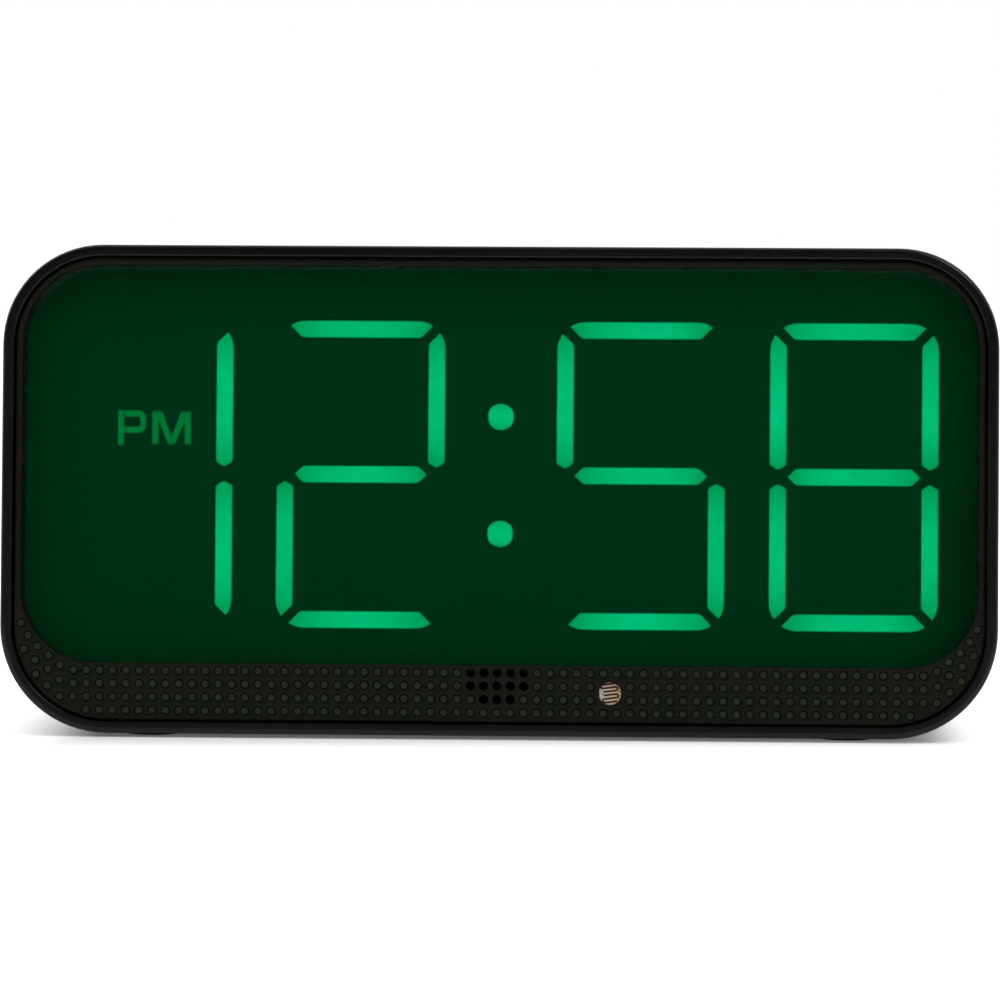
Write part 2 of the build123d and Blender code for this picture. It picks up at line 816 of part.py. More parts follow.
# Rear half of the case with its openings, posts, battery box, screw holes, lip and hooks.
cell_depth = 2 * (2 * cell_radius) + cell_gap
box_length = cell_length + cell_tip_length + spring_space + plate_space
box_depth = cell_depth + 2 * cell_gap
box_back = box_front + box_depth
box_middle = (box_front + box_back) / 2
door_top = base.offset(door_thickness)
box_floor = base.offset(wall)
door_tabs = (box_middle - door_tab_along, box_middle + door_tab_along)
latch_slots = (box_middle - latch_width / 2, box_middle + latch_width / 2)
alarm_middle = (alarm_across + alarm_travel / 2, alarm_up)
hook_top = case_edge(front_depth, wall + seat_fit)[2]
with BuildPart() as rear_shell:
    case_loft(front_depth, case_depth, 0)
    fillet(rear_shell.faces().sort_by(outward)[0].edges(), back_edge_radius)
    case_loft(front_depth, front_depth + lip_root, wall + lip_thickness, Mode.SUBTRACT)
    case_loft(front_depth + lip_root, case_depth - wall, wall, Mode.SUBTRACT)
    with BuildSketch(at_depth(front_depth - lip_length), mode=Mode.PRIVATE) as lip_outline:
        rounded_outline(lip_outline, *case_edge(front_depth, wall + seat_fit))
    with BuildSketch(at_depth(front_depth - lip_length), mode=Mode.PRIVATE) as lip_inside:
        rounded_outline(lip_inside, *case_edge(front_depth, wall + lip_thickness))
    extrude(lip_outline.sketch - lip_inside.sketch, amount=-(lip_length + overrun))
    for side in (-1, 1):
        with BuildSketch(section.offset(side * hook_across - hook_width / 2)):
            with Locations((front_depth - hook_reach / 2 + overrun, hook_top - hook_thickness / 2)):
                Rectangle(hook_reach + 2 * overrun, hook_thickness)
            with Locations((front_depth - hook_reach + hook_nib_length / 2, hook_top + hook_nib / 2)):
                Rectangle(hook_nib_length, hook_nib)
        extrude(amount=hook_width)
    with BuildSketch(box_floor):
        with Locations((0, tongue_y)):
            Rectangle(2 * notch_half, 2 * (lip_root + overrun))
    extrude(amount=notch_height, mode=Mode.SUBTRACT)
    with BuildSketch(top):
        for across, width in keys.values():
            with Locations((across, 0)):
                RectangleRounded(width + 2 * fit, key_length + 2 * fit, key_corner + fit)
    extrude(amount=-(wall + overrun), mode=Mode.SUBTRACT)
    with BuildSketch(top.offset(-wall + seat_fit)):
        with Locations(*key_posts):
            Circle(key_post_radius)
            Circle(pilot_radius, mode=Mode.SUBTRACT)
    extrude(amount=-(key_board_top - wall + seat_fit))
    with BuildSketch(at_depth(case_depth - wall + seat_fit)):
        with Locations(*main_bosses):
            Circle(boss_radius)
            Circle(pilot_radius, mode=Mode.SUBTRACT)
    extrude(amount=case_depth - wall - main_back)
    with BuildSketch(at_depth(case_depth)):
        with Locations(alarm_middle):
            RectangleRounded(recess_width, recess_height, recess_radius)
    extrude(amount=recess_depth, mode=Mode.SUBTRACT)
    with BuildSketch(at_depth(case_depth)):
        with Locations(alarm_middle):
            Rectangle(grip_width + alarm_travel + 2 * fit, grip_height + 2 * fit)
        with Locations((jack_across, jack_up)):
            Circle(jack_nose_radius + jack_hole_fit)
    extrude(amount=wall + overrun, mode=Mode.SUBTRACT)
    for side in (-1, 1):
        with BuildSketch(at_depth(display_back + seat_fit)):
            with Locations((side * rib_across, board_high - rib_height / 2)):
                Rectangle(rib_thickness, rib_height)
        extrude(amount=-(case_depth - display_back - wall))
    with BuildSketch(box_floor.offset(-seat_fit)):
        with Locations((0, box_middle)):
            Rectangle(box_length + 2 * box_wall, box_depth + 2 * box_wall)
    extrude(amount=box_height + box_wall + seat_fit)
    with BuildSketch(base.offset(-overrun)):
        with Locations((0, box_middle)):
            Rectangle(box_length, box_depth)
    extrude(amount=overrun + wall + box_height, mode=Mode.SUBTRACT)
    with BuildSketch(base.offset(-overrun)):
        with Locations((0, box_middle)):
            Rectangle(box_length + 2 * door_ledge, box_depth)
    extrude(amount=overrun + door_thickness + seat_fit, mode=Mode.SUBTRACT)
    with BuildSketch(box_floor):
        with Locations(*[(-box_length / 2 - door_tab_length + overrun, along) for along in door_tabs]):
            Rectangle(2 * door_tab_length, door_tab_width + 2 * fit)
    extrude(amount=door_slot_height, mode=Mode.SUBTRACT)
    with BuildSketch(door_top):
        with Locations(*[(-box_length / 2, along) for along in door_tabs]):
            Rectangle(2 * door_ledge, door_tab_width + 2 * fit)
    extrude(amount=wall, mode=Mode.SUBTRACT)
    with BuildSketch(base):
        with Locations((-foot_across, foot_back), (foot_across, foot_back)):
            Circle(foot_radius + seat_fit)
    extrude(amount=foot_sink, mode=Mode.SUBTRACT)
    for side in (-1, 1):
        screw_spot = (side * case_screw_across, tongue_y + case_screw_back)
        with BuildSketch(base.offset(-overrun)):
            with Locations(screw_spot):
                Circle(screw_hole_radius)
        extrude(amount=wall + 2 * overrun, mode=Mode.SUBTRACT)
        with BuildSketch(base.offset(-overrun)):
            with Locations(screw_spot):
                Circle(screw_head_radius + fit / 2)
        extrude(amount=overrun + screw_head_height, mode=Mode.SUBTRACT)
rear_shell.part.label = "rear_shell"

# Sliding alarm switch: the slider behind the wall with its grip, the lever it drives and the body.
slider_back = case_depth - wall - seat_fit
slider_front = slider_back - slider_thickness
alarm_body_back = main_back + alarm_body_depth
with BuildPart() as alarm_knob:
    with BuildSketch(at_depth(slider_front)):
        with Locations((alarm_across, alarm_up)):
            Rectangle(slider_width, slider_height)
    extrude(amount=-slider_thickness)
    with BuildSketch(at_depth(slider_back)):
        with Locations((alarm_across, alarm_up)):
            Rectangle(grip_width, grip_height)
    extrude(amount=-(case_depth - slider_back))
    with BuildSketch(at_depth(case_depth)):
        with Locations((alarm_across, alarm_up)):
            with GridLocations(2 * grip_groove, 0, grip_grooves, 1):
                Rectangle(grip_groove, grip_height)
    extrude(amount=grip_groove, mode=Mode.SUBTRACT)
alarm_knob.part.label = "alarm_knob"

with BuildPart() as alarm_lever:
    with BuildSketch(at_depth(alarm_body_back - lever_sink)):
        with Locations((alarm_across, alarm_up)):
            Rectangle(lever_width, lever_height)
    extrude(amount=-(slider_front - alarm_body_back + lever_sink))
alarm_lever.part.label = "alarm_lever"

with BuildPart() as alarm_switch:
    with BuildSketch(at_depth(main_back)):
        with Locations(alarm_middle):
            Rectangle(alarm_body_width, alarm_body_height)
    extrude(amount=-alarm_body_depth)
    with BuildSketch(at_depth(alarm_body_back)):
        with Locations(alarm_middle):
            Rectangle(lever_width + alarm_travel + fit, lever_height + fit)
    extrude(amount=lever_sink + seat_fit, mode=Mode.SUBTRACT)
alarm_switch.part.label = "alarm_switch"

# Power inlet: a body on the main board, a round nose flush with the back wall, and its centre pin.
with BuildPart() as dc_jack:
    with BuildSketch(at_depth(main_back)):
        with Locations((jack_across, jack_up)):
            Rectangle(jack_body_width, jack_body_height)
    extrude(amount=-(case_depth - wall - seat_fit - main_back))
    with BuildSketch(at_depth(case_depth - wall - seat_fit)):
        with Locations((jack_across, jack_up)):
            Circle(jack_nose_radius)
    extrude(amount=-(wall + seat_fit))
    with BuildSketch(at_depth(case_depth)):
        with Locations((jack_across, jack_up)):
            Circle(jack_bore_radius)
    extrude(amount=jack_bore_depth, mode=Mode.SUBTRACT)
dc_jack.part.label = "dc_jack"

with BuildPart() as jack_contact:
    with BuildSketch(at_depth(case_depth - jack_pin_setback)):
        with Locations((jack_across, jack_up)):
            Circle(jack_pin_radius)
    extrude(amount=jack_bore_depth - jack_pin_setback)
jack_contact.part.label = "jack_contact"

# Backup battery: the door with its tabs and latch, two cells, their springs and end plates.
door_front = box_front + door_fit
door_back = box_back - door_fit
door_half = box_length / 2 + door_ledge - door_fit
door_nose = door_thickness / 2
with BuildPart() as battery_door:
    with BuildSketch(base):
        with Locations((door_nose / 2, (door_front + door_back) / 2)):
            Rectangle(2 * door_half - door_nose, door_back - door_front)
        with Locations(*[(door_half - latch_length / 2, along) for along in latch_slots]):
            Rectangle(latch_length, latch_slot, mode=Mode.SUBTRACT)
    extrude(amount=door_thickness)
    with Locations((door_nose - door_half, (door_front + door_back) / 2, desk_gap + door_nose)):
        Cylinder(door_nose, door_back - door_front, rotation=(90, 0, 0))
    with BuildSketch(base.offset(door_nose)):
        with Locations(*[(door_tab_root / 2 - door_half, along) for along in door_tabs]):
            Rectangle(door_tab_root, door_tab_width)
    extrude(amount=wall - door_nose + fit + door_tab_thickness)
    with BuildSketch(box_floor.offset(fit)):
        with Locations(*[(fit - door_tab_length / 2 - door_half, along) for along in door_tabs]):
            Rectangle(door_tab_length, door_tab_width)
    extrude(amount=door_tab_thickness)
battery_door.part.label = "battery_door"

cell_axis = desk_gap + wall + fit + cell_radius
cell_rows = [
    (box_middle - cell_radius - cell_gap / 2, 1),
    (box_middle + cell_radius + cell_gap / 2, -1),
]
cell_start = -box_length / 2 + spring_space
with BuildPart() as battery_cells:
    for row, way in cell_rows:
        with BuildSketch(Plane(origin=(way * cell_start, row, cell_axis), z_dir=(way, 0, 0))):
            Circle(cell_radius)
        extrude(amount=cell_length)
        with BuildSketch(Plane(origin=(way * (cell_start + cell_length), row, cell_axis), z_dir=(way, 0, 0))):
            Circle(cell_tip_radius)
        extrude(amount=cell_tip_length)
battery_cells.part.label = "battery_cells"

with BuildPart() as battery_springs:
    for row, way in cell_rows:
        start = Plane(origin=(-way * (box_length / 2 - plate_thickness), row, cell_axis), z_dir=(way, 0, 0))
        spring_length = spring_space - plate_thickness
        with BuildSketch(start):
            Circle(spring_low_radius)
            Circle(spring_low_radius - spring_wire, mode=Mode.SUBTRACT)
        with BuildSketch(start.offset(spring_length)):
            Circle(spring_high_radius)
            Circle(spring_high_radius - spring_wire, mode=Mode.SUBTRACT)
        loft(ruled=True)
battery_springs.part.label = "battery_springs"

with BuildPart() as battery_plates:
    for side in (-1, 1):
        end = Plane(
            origin=(side * box_length / 2, box_middle, cell_axis), x_dir=(0, 1, 0), z_dir=(-side, 0, 0)
        )
        with BuildSketch(end):
            Rectangle(box_depth - 2 * fit, 2 * plate_half_height)
        extrude(amount=plate_thickness)
battery_plates.part.label = "battery_plates"


def screws(planes, label):
    """Pan-head screws with a cross recess, each head seated on its plane and its shank beyond."""
    with BuildPart() as group:
        for plane in planes:
            with BuildSketch(plane):
                Circle(screw_head_radius)
            extrude(amount=screw_head_height)
            with BuildSketch(plane.offset(-screw_length)):
                Circle(screw_radius)
            extrude(amount=screw_length)
            with BuildSketch(plane.offset(screw_head_height)):
                Rectangle(2 * screw_recess_radius, screw_recess_radius / 2)
                Rectangle(screw_recess_radius / 2, 2 * screw_recess_radius)
            extrude(amount=-screw_recess_depth, mode=Mode.SUBTRACT)
    group.part.label = label
    return group.part


def facing_back(across, up, depth):
    """A screw's seat that faces away from the reader."""
    return Plane(origin=place(across, up, depth), x_dir=(1, 0, 0), z_dir=-face.z_dir)


case_screws = screws(
    [
        Plane(
            origin=(side * case_screw_across, tongue_y + case_screw_back, desk_gap + screw_head_height),
            x_dir=(1, 0, 0),
            z_dir=(0, 0, -1),
        )
        for side in (-1, 1)
    ],
    "case_screws",
)
board_screws = screws([facing_back(*spot, display_back) for spot in board_bosses], "board_screws")
main_board_screws = screws(
    [Plane(origin=place(*spot, main_depth), x_dir=(1, 0, 0), z_dir=face.z_dir) for spot in main_bosses],
    "main_board_screws",
)
key_board_screws = screws(
    [
        Plane(
            origin=top.from_local_coords(
                (post.position.X, post.position.Y, -key_board_top - board_thickness)
            ),
            x_dir=(1, 0, 0),
            z_dir=-top.z_dir,
        )
        for post in key_posts
    ],
    "key_board_screws",
)

with BuildPart() as rubber_feet:
    for across in (-foot_across, foot_across):
        for along in (foot_front, foot_back):
            with BuildSketch(Plane.XY):
                with Locations((across, along)):
                    Circle(foot_radius)
            extrude(amount=desk_gap + foot_sink)
rubber_feet.part.label = "rubber_feet"

pieces = [
    front_shell.part,
    front_panel.part,
    display_lens.part,
    diffuser_sheet.part,
    led_reflector.part,
    segments_lit.part,
    segments_unlit.part,
    colon_dots.part,
    pm_window.part,
    display_board.part,
    led_chips.part,
    sounder.part,
    sounder_gasket.part,
    photoresistor.part,
    *key_parts.values(),
    switch_housings.part,
    key_board.part,
    main_board.part,
    clock_chip,
    driver_chip,
    crystal_can.part,
    capacitor.part,
    board_link.part,
    rear_shell.part,
    alarm_knob.part,
    alarm_lever.part,
    alarm_switch.part,
    dc_jack.part,
    jack_contact.part,
    battery_door.part,
    battery_cells.part,
    battery_springs.part,
    battery_plates.part,
    case_screws,
    board_screws,
    main_board_screws,
    key_board_screws,
    rubber_feet.part,
]
os.makedirs("parts", exist_ok=True)
for piece in pieces:
    export_step(piece, f"parts/{piece.label}.step")
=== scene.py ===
"""Dresses the CAD model of a digital LED desk clock: dimpled front panel, lit display and finishes."""

from math import cos, pi, radians, sin

import bmesh
import bpy
from bpy.props import FloatProperty, FloatVectorProperty, PointerProperty
from mathutils import Matrix, Vector


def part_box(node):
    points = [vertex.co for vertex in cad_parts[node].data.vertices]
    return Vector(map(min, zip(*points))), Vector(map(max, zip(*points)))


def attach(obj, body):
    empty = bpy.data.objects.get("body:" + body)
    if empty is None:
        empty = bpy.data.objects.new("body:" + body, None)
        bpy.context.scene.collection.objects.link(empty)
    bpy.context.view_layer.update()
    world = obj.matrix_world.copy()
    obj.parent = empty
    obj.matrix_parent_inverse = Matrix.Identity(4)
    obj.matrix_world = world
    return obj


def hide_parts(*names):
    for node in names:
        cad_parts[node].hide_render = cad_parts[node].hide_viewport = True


bl_info = {
    "name": "LED desk clock",
    "version": (1, 0, 0),
    "blender": (4, 5, 0),
    "location": "View3D > Sidebar > Clock",
    "description": "Builds the panel, the display and the finishes of a digital LED desk clock",
    "category": "Mesh",
}

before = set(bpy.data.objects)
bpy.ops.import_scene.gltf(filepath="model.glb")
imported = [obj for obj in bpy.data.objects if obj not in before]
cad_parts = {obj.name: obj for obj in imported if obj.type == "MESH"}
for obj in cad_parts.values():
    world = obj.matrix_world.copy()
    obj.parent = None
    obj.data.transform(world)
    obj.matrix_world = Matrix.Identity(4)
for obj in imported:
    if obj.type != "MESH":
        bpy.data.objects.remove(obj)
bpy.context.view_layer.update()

# New pieces are drawn flat in millimetres, with the reader on the +Z side, and then stood up on the
# leaning face: across, up, and a depth behind the case's front edge that counts down on Z.
MM = 0.001
LEAN = radians(5.0)
ACROSS = Vector((1, 0, 0))
UP = Vector((0, sin(LEAN), cos(LEAN)))
INWARD = Vector((0, cos(LEAN), -sin(LEAN)))

# Widths of the slow changes in the finishes: gloss, panel colour, lens, film, glow, brushed lines,
# tracks, scuffs and the sensor's coat
GLOSS_DRIFT = 12 * MM
PATCH = 4.0 * MM
LENS_HAZE = 9 * MM
FILM_GRAIN = 0.4 * MM
GLOW_DRIFT = 14 * MM
BRUSHED_LINE = 0.12 * MM
BOARD_TRACKS = 24 * MM
SLEEVE_SCUFF = 0.8 * MM
COAT_GRAIN = 0.3 * MM

# How far the colours of the battery cells run to each side of the middle
SLEEVE_REACH = 27 * MM

# Depths behind the front edge
PANEL_FRONT = 0.6
PANEL_BACK = 3.2
PANE_FRONT = 8.55

# The painted shadow patch: the floor round the clock where its own glow is held low, so the shadow shows
# there and is painted out beyond:
# half sizes in metres, the way from its middle to the clock's in half depths, its turn, and the shares of a
# half size over which it fades
SHADE_HALF_WIDTH = 0.075
SHADE_HALF_DEPTH = 0.15
SHADE_SHIFT = -0.74
SHADE_TURN = radians(-2.5)
SHADE_FADE = (0.87, 1.1)

# The floor: half its width in metres, and its own camera-only light in the painted shadow patch and away
# from it, where it whitens the shadow
FLOOR_REACH = 3.0
FLOOR_GLOW_IN_SHADE = 0.1
FLOOR_GLOW = 0.6

# The surroundings: light that falls on the clock, and the forward share of a mirrored ray at which the
# dark studio begins and ends
ROOM_LIGHT = 0.85
MIRRORED_DARK = -0.35
MIRRORED_WHITE = 0.2

# The soft lamp above and to the right, in metres and watts
SOFTBOX_WIDTH = 0.7
SOFTBOX_HEIGHT = 0.5
SOFTBOX_POWER = 6.0
SOFTBOX_PLACE = Vector((0.8, -0.6, 1.2))
SOFTBOX_AIM = Vector((0, 0, 0.04))

FILM_WIDTH = 36.0

# The point of the face that the camera looks at
AIM_ACROSS = 0.3
AIM_UP = -1.5

panel_low, panel_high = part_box("front_panel")
PANEL_HALF_WIDTH = (panel_high.x - panel_low.x) / 2 / MM
PANEL_HALF_HEIGHT = (
    (panel_high.z - panel_low.z) / MM - (PANEL_BACK - PANEL_FRONT) * sin(LEAN)
) / (2 * cos(LEAN))
FACE_CENTRE = (panel_low + panel_high) / 2 - INWARD * (PANEL_FRONT + PANEL_BACK) / 2 * MM
STAND_ON_FACE = (
    Matrix.Translation(FACE_CENTRE) @ Matrix.Rotation(pi / 2 - LEAN, 4, "X") @ Matrix.Scale(MM, 4)
)

# Panel outline and window
PANEL_LOW_RADIUS = 15.3
PANEL_HIGH_RADIUS = 14.1
WINDOW_HALF_WIDTH = 78.25
WINDOW_LOW = -28.43
WINDOW_HIGH = 36.75
WINDOW_LOW_RADIUS = 12.0
WINDOW_HIGH_RADIUS = 12.6
CORNER_STEPS = 20
EDGE_ROLL = 0.18
EDGE_STEPS = 3
LEVEL_TOLERANCE = 0.001
WELD = 0.001
SHARP_ANGLE = radians(50.0)

# Dimples, as rows under the window and as arcs round its lower corners
DIMPLE_RADIUS = 0.85
DIMPLE_SIDES = 14
DIMPLE_GROOVE = 0.15
DIMPLE_GROOVE_DEPTH = 0.9
MOUTH_ROLL = 0.1
ROW_TOP = -29.69
ROW_REACHES = (32, 32, 33, 31)
HOLE_REACHES = (2, 2, 1)
# Each arc: radius round the window's corner, first angle, step and number of dimples
ARCS = (
    (13.6, 66.7, 0.0, 1),
    (13.12, 56.4, 10.3, 4),
    (15.9, 70.0, 0.0, 1),
    (15.05, 60.8, 9.8, 3),
    (17.5, 64.9, 0.0, 1),
    (16.85, 56.4, 0.0, 1),
)
SENSOR_COLUMN = 8.5
SENSOR_ROW = 1.5
SENSOR_HOLE_RADIUS = 2.05
SENSOR_HOLE_SIDES = 40

# Display: strengths of the glow, the share of it that is left at a bar's edges and the share of a bar's
# width over which it falls off there, then the two letters
SEGMENT_GLOW = 4.0
SIGN_GLOW = 1.05
EDGE_GLOW = 0.3
SOFT_EDGE = 0.1
LETTER_HEIGHT = 5.68
LETTER_STROKE = 1.02
LETTER_LOW = 7.5
LETTER_THICKNESS = 0.25
P_LEFT = -63.3
P_WIDTH = 4.75
P_BOWL_HEIGHT = 3.74
P_BOWL_RADIUS = 1.5
M_LEFT = -57.6
M_WIDTH = 6.38
M_SHOULDER = 1.56
M_STEM_NOTCH = 4.1
M_APEX = 2.69
M_V_NOTCH = 1.21

# Sensor behind its hole, with its face standing in the hole
SENSOR_FACE = 1.2
SENSOR_FRONT = 3.4
SENSOR_BACK = 5.4
SENSOR_RADIUS = 2.5
SENSOR_FACE_RADIUS = 1.9
SENSOR_EDGE = 0.12
SENSOR_TURN = radians(7.5)
TRACK_WIDTH = 0.32
TRACK_RISE = 0.03
TRACK_PITCH = 0.58
TRACK_REACH = 1.02
TRACK_UP = 0.12
TRACK_PASSES = 3
TRACK_TURN_STEPS = 10
LEAD_SPREAD = 1.25
LEAD_BEADS = ((-1.66, 0.2, 0.34), (-1.22, 0.16, 0.22), (1.62, 0.13, 0.28))
LEAD_BEAD_RISE = 0.08
LEAD_RADIUS = 0.25
LEAD_TAIL = 2.0
LEAD_SIDES = 16
BEAD_SIDES = 20
BEAD_RINGS = 12


def linear(code):
    """A hex sRGB colour as linear red, green, blue and alpha."""
    shares = [int(code[start : start + 2], 16) / 255 for start in (1, 3, 5)]
    return [s / 12.92 if s <= 0.04045 else ((s + 0.055) / 1.055) ** 2.4 for s in shares] + [1.0]


def place(across, up, depth):
    """A point of the row frame from a place on the leaning face, in millimetres."""
    return FACE_CENTRE + (ACROSS * across + UP * up + INWARD * depth) * MM


def colour(name, description, code):
    """A colour property with a hex sRGB default."""
    return FloatVectorProperty(
        name=name, description=description, subtype="COLOR", size=4, min=0, max=1, default=linear(code)
    )


def length(name, description, millimetres):
    """A length property with a default in millimetres."""
    return FloatProperty(
        name=name, description=description, unit="LENGTH", min=0, precision=5, default=millimetres * MM
    )


class ClockColours(bpy.types.PropertyGroup):
    """Colours of the clock's visible finishes."""

    case: colour("Case", "Moulded case and its rim", "#0D0D0F")
    panel: colour("Panel", "Inset front panel", "#11170D")
    stain: colour("Panel patches", "Browner patches of the front panel", "#17140F")
    # Dimple floors: paler than the panel as painted light, standing in for the light that reaches the
    # recessed floors
    dimple: colour("Dimple floors", "Smooth floors of the panel's dimples", "#252F1D")
    dimple_stain: colour("Dimple patches", "Greyer dimple floors here and there", "#272722")
    lens: colour("Lens", "Tinted window", "#003E1F")
    lit: colour("Lit segments", "A lit segment over its chip", "#00FC9F")
    lit_end: colour("Segment ends", "A lit segment away from its chip", "#00CB6E")
    sign: colour("PM sign", "The lit PM sign", "#00F96B")
    track: colour("Sensor track", "Light-sensitive track of the sensor", "#4A0408")
    key: colour("Keys", "Keys on top", "#161618")
    ceramic: colour("Sensor", "Ceramic face of the light sensor", "#BDBDA8")
    ceramic_aged: colour("Sensor, yellowed", "Yellowed side of the light sensor", "#BBA774")


class ClockGrain(bpy.types.PropertyGroup):
    """Sizes of the moulded surfaces' grain."""

    case: length("Case grain", "Width of a grain of the case's moulded surface", 0.3)
    panel: length("Panel grain", "Width of a grain of the panel's moulded surface", 0.35)
    dimple_pitch: length("Dimple pitch", "Distance from dimple to dimple", 2.17)
    dimple_depth: length("Dimple depth", "Depth of a dimple's flat floor", 0.3)


class ClockStage(bpy.types.PropertyGroup):
    """Where the camera stands and how far it looks."""

    distance: FloatProperty(
        name="Distance", description="Camera to clock", unit="LENGTH", min=0.1, default=0.9
    )
    azimuth: FloatProperty(
        name="Azimuth", description="Camera's turn to the right", subtype="ANGLE", default=radians(2.3)
    )
    elevation: FloatProperty(
        name="Elevation", description="Camera's rise", subtype="ANGLE", default=radians(3.2)
    )
    roll: FloatProperty(
        name="Roll", description="Camera's tilt to the left", subtype="ANGLE", default=radians(0.25)
    )
    lens: FloatProperty(
        name="Lens", description="Focal length on a 36 mm sensor", subtype="DISTANCE_CAMERA", default=198.6
    )


def add_node(tree, kind, inputs=None, **settings):
    """Add a node with its settings, and set or link its inputs."""
    node = tree.nodes.new(kind)
    for name, value in settings.items():
        setattr(node, name, value)
    for name, value in (inputs or {}).items():
        if isinstance(value, bpy.types.NodeSocket):
            tree.links.new(value, node.inputs[name])
        else:
            node.inputs[name].default_value = value
    return node


def new_material(name):
    """An empty node material and its tree."""
    material = bpy.data.materials.new(name)
    material.use_nodes = True
    material.node_tree.nodes.clear()
    return material, material.node_tree


def moulded(name, base, grain, relief, roughness, mottle=0.18, specular=0.5, stain=None):
    """Moulded plastic: an eroded tool leaves fine grain, which breaks the gloss into a satin sheen."""
    material, tree = new_material(name)
    spot = add_node(tree, "ShaderNodeTexCoord").outputs["Object"]
    fine = add_node(
        tree, "ShaderNodeTexNoise", {"Vector": spot, "Scale": 1 / grain, "Detail": 3.0, "Roughness": 0.6}
    )
    cloud = add_node(tree, "ShaderNodeTexNoise", {"Vector": spot, "Scale": 1 / GLOSS_DRIFT, "Detail": 2.0})
    darker = [share * (1 - mottle) for share in base[:3]] + [1.0]
    lighter = [min(1.0, share * (1 + mottle)) for share in base[:3]] + [1.0]
    tone = add_node(
        tree,
        "ShaderNodeMix",
        {"Factor": fine.outputs["Fac"], 6: darker, 7: lighter},
        data_type="RGBA",
    )
    if stain:
        patch = add_node(tree, "ShaderNodeTexNoise", {"Vector": spot, "Scale": 1 / PATCH, "Detail": 3.0})
        share = add_node(
            tree, "ShaderNodeMapRange", {"Value": patch.outputs["Fac"], "From Min": 0.42, "From Max": 0.62}
        )
        tone = add_node(
            tree,
            "ShaderNodeMix",
            {"Factor": share.outputs["Result"], 6: tone.outputs[2], 7: stain},
            data_type="RGBA",
        )
    gloss = add_node(
        tree,
        "ShaderNodeMapRange",
        {
            "Value": cloud.outputs["Fac"],
            "From Min": 0.3,
            "From Max": 0.7,
            "To Min": roughness - 0.04,
            "To Max": roughness + 0.04,
        },
    )
    bump = add_node(
        tree,
        "ShaderNodeBump",
        {"Height": fine.outputs["Fac"], "Strength": 0.5, "Distance": relief},
    )
    shader = add_node(
        tree,
        "ShaderNodeBsdfPrincipled",
        {
            "Base Color": tone.outputs[2],
            "Roughness": gloss.outputs["Result"],
            "Normal": bump.outputs["Normal"],
            "IOR": 1.5,
            "Specular IOR Level": specular,
        },
    )
    add_node(tree, "ShaderNodeOutputMaterial", {"Surface": shader.outputs["BSDF"]})
    return material


def brushed_metal(name, base, roughness, along=(1.0, 1.0, 0.06)):
    """Plated or drawn metal: fine lines from the tool stretch the highlight."""
    material, tree = new_material(name)
    spot = add_node(tree, "ShaderNodeTexCoord").outputs["Object"]
    drawn = add_node(tree, "ShaderNodeMapping", {"Vector": spot, "Scale": along})
    lines = add_node(
        tree,
        "ShaderNodeTexNoise",
        {"Vector": drawn.outputs["Vector"], "Scale": 1 / BRUSHED_LINE, "Detail": 2.0},
    )
    gloss = add_node(
        tree,
        "ShaderNodeMapRange",
        {"Value": lines.outputs["Fac"], "To Min": roughness - 0.08, "To Max": roughness + 0.12},
    )
    bump = add_node(
        tree,
        "ShaderNodeBump",
        {"Height": lines.outputs["Fac"], "Strength": 0.3, "Distance": 0.01 * MM},
    )
    shader = add_node(
        tree,
        "ShaderNodeBsdfPrincipled",
        {
            "Base Color": linear(base),
            "Metallic": 1.0,
            "Roughness": gloss.outputs["Result"],
            "Normal": bump.outputs["Normal"],
        },
    )
    add_node(tree, "ShaderNodeOutputMaterial", {"Surface": shader.outputs["BSDF"]})
    return material


def tinted_acrylic():
    """Tinted acrylic sheet: dark green and glossy, and the lit segments show through it."""
    material, tree = new_material("Tinted acrylic")
    spot = add_node(tree, "ShaderNodeTexCoord").outputs["Object"]
    haze = add_node(tree, "ShaderNodeTexNoise", {"Vector": spot, "Scale": 1 / LENS_HAZE, "Detail": 1.0})
    base = bpy.context.scene.clock_colours.lens
    tone = add_node(
        tree,
        "ShaderNodeMix",
        {"Factor": haze.outputs["Fac"], 6: [0.94 * share for share in base[:3]] + [1.0], 7: base},
        data_type="RGBA",
    )
    shader = add_node(
        tree,
        "ShaderNodeBsdfPrincipled",
        {
            "Base Color": tone.outputs[2],
            "Roughness": 0.08,
            "IOR": 1.49,
            "Alpha": 0.6,
        },
    )
    add_node(tree, "ShaderNodeOutputMaterial", {"Surface": shader.outputs["BSDF"]})
    return material


def frosted_film():
    """Frosted polyester film: spreads the light a little and takes off the shine."""
    material, tree = new_material("Frosted polyester film")
    spot = add_node(tree, "ShaderNodeTexCoord").outputs["Object"]
    grain = add_node(tree, "ShaderNodeTexNoise", {"Vector": spot, "Scale": 1 / FILM_GRAIN, "Detail": 2.0})
    tone = add_node(
        tree,
        "ShaderNodeMix",
        {"Factor": grain.outputs["Fac"], 6: linear("#0E1A12"), 7: linear("#142219")},
        data_type="RGBA",
    )
    shader = add_node(
        tree,
        "ShaderNodeBsdfPrincipled",
        {"Base Color": tone.outputs[2], "Roughness": 0.6, "IOR": 1.57, "Alpha": 0.12},
    )
    add_node(tree, "ShaderNodeOutputMaterial", {"Surface": shader.outputs["BSDF"]})
    return material


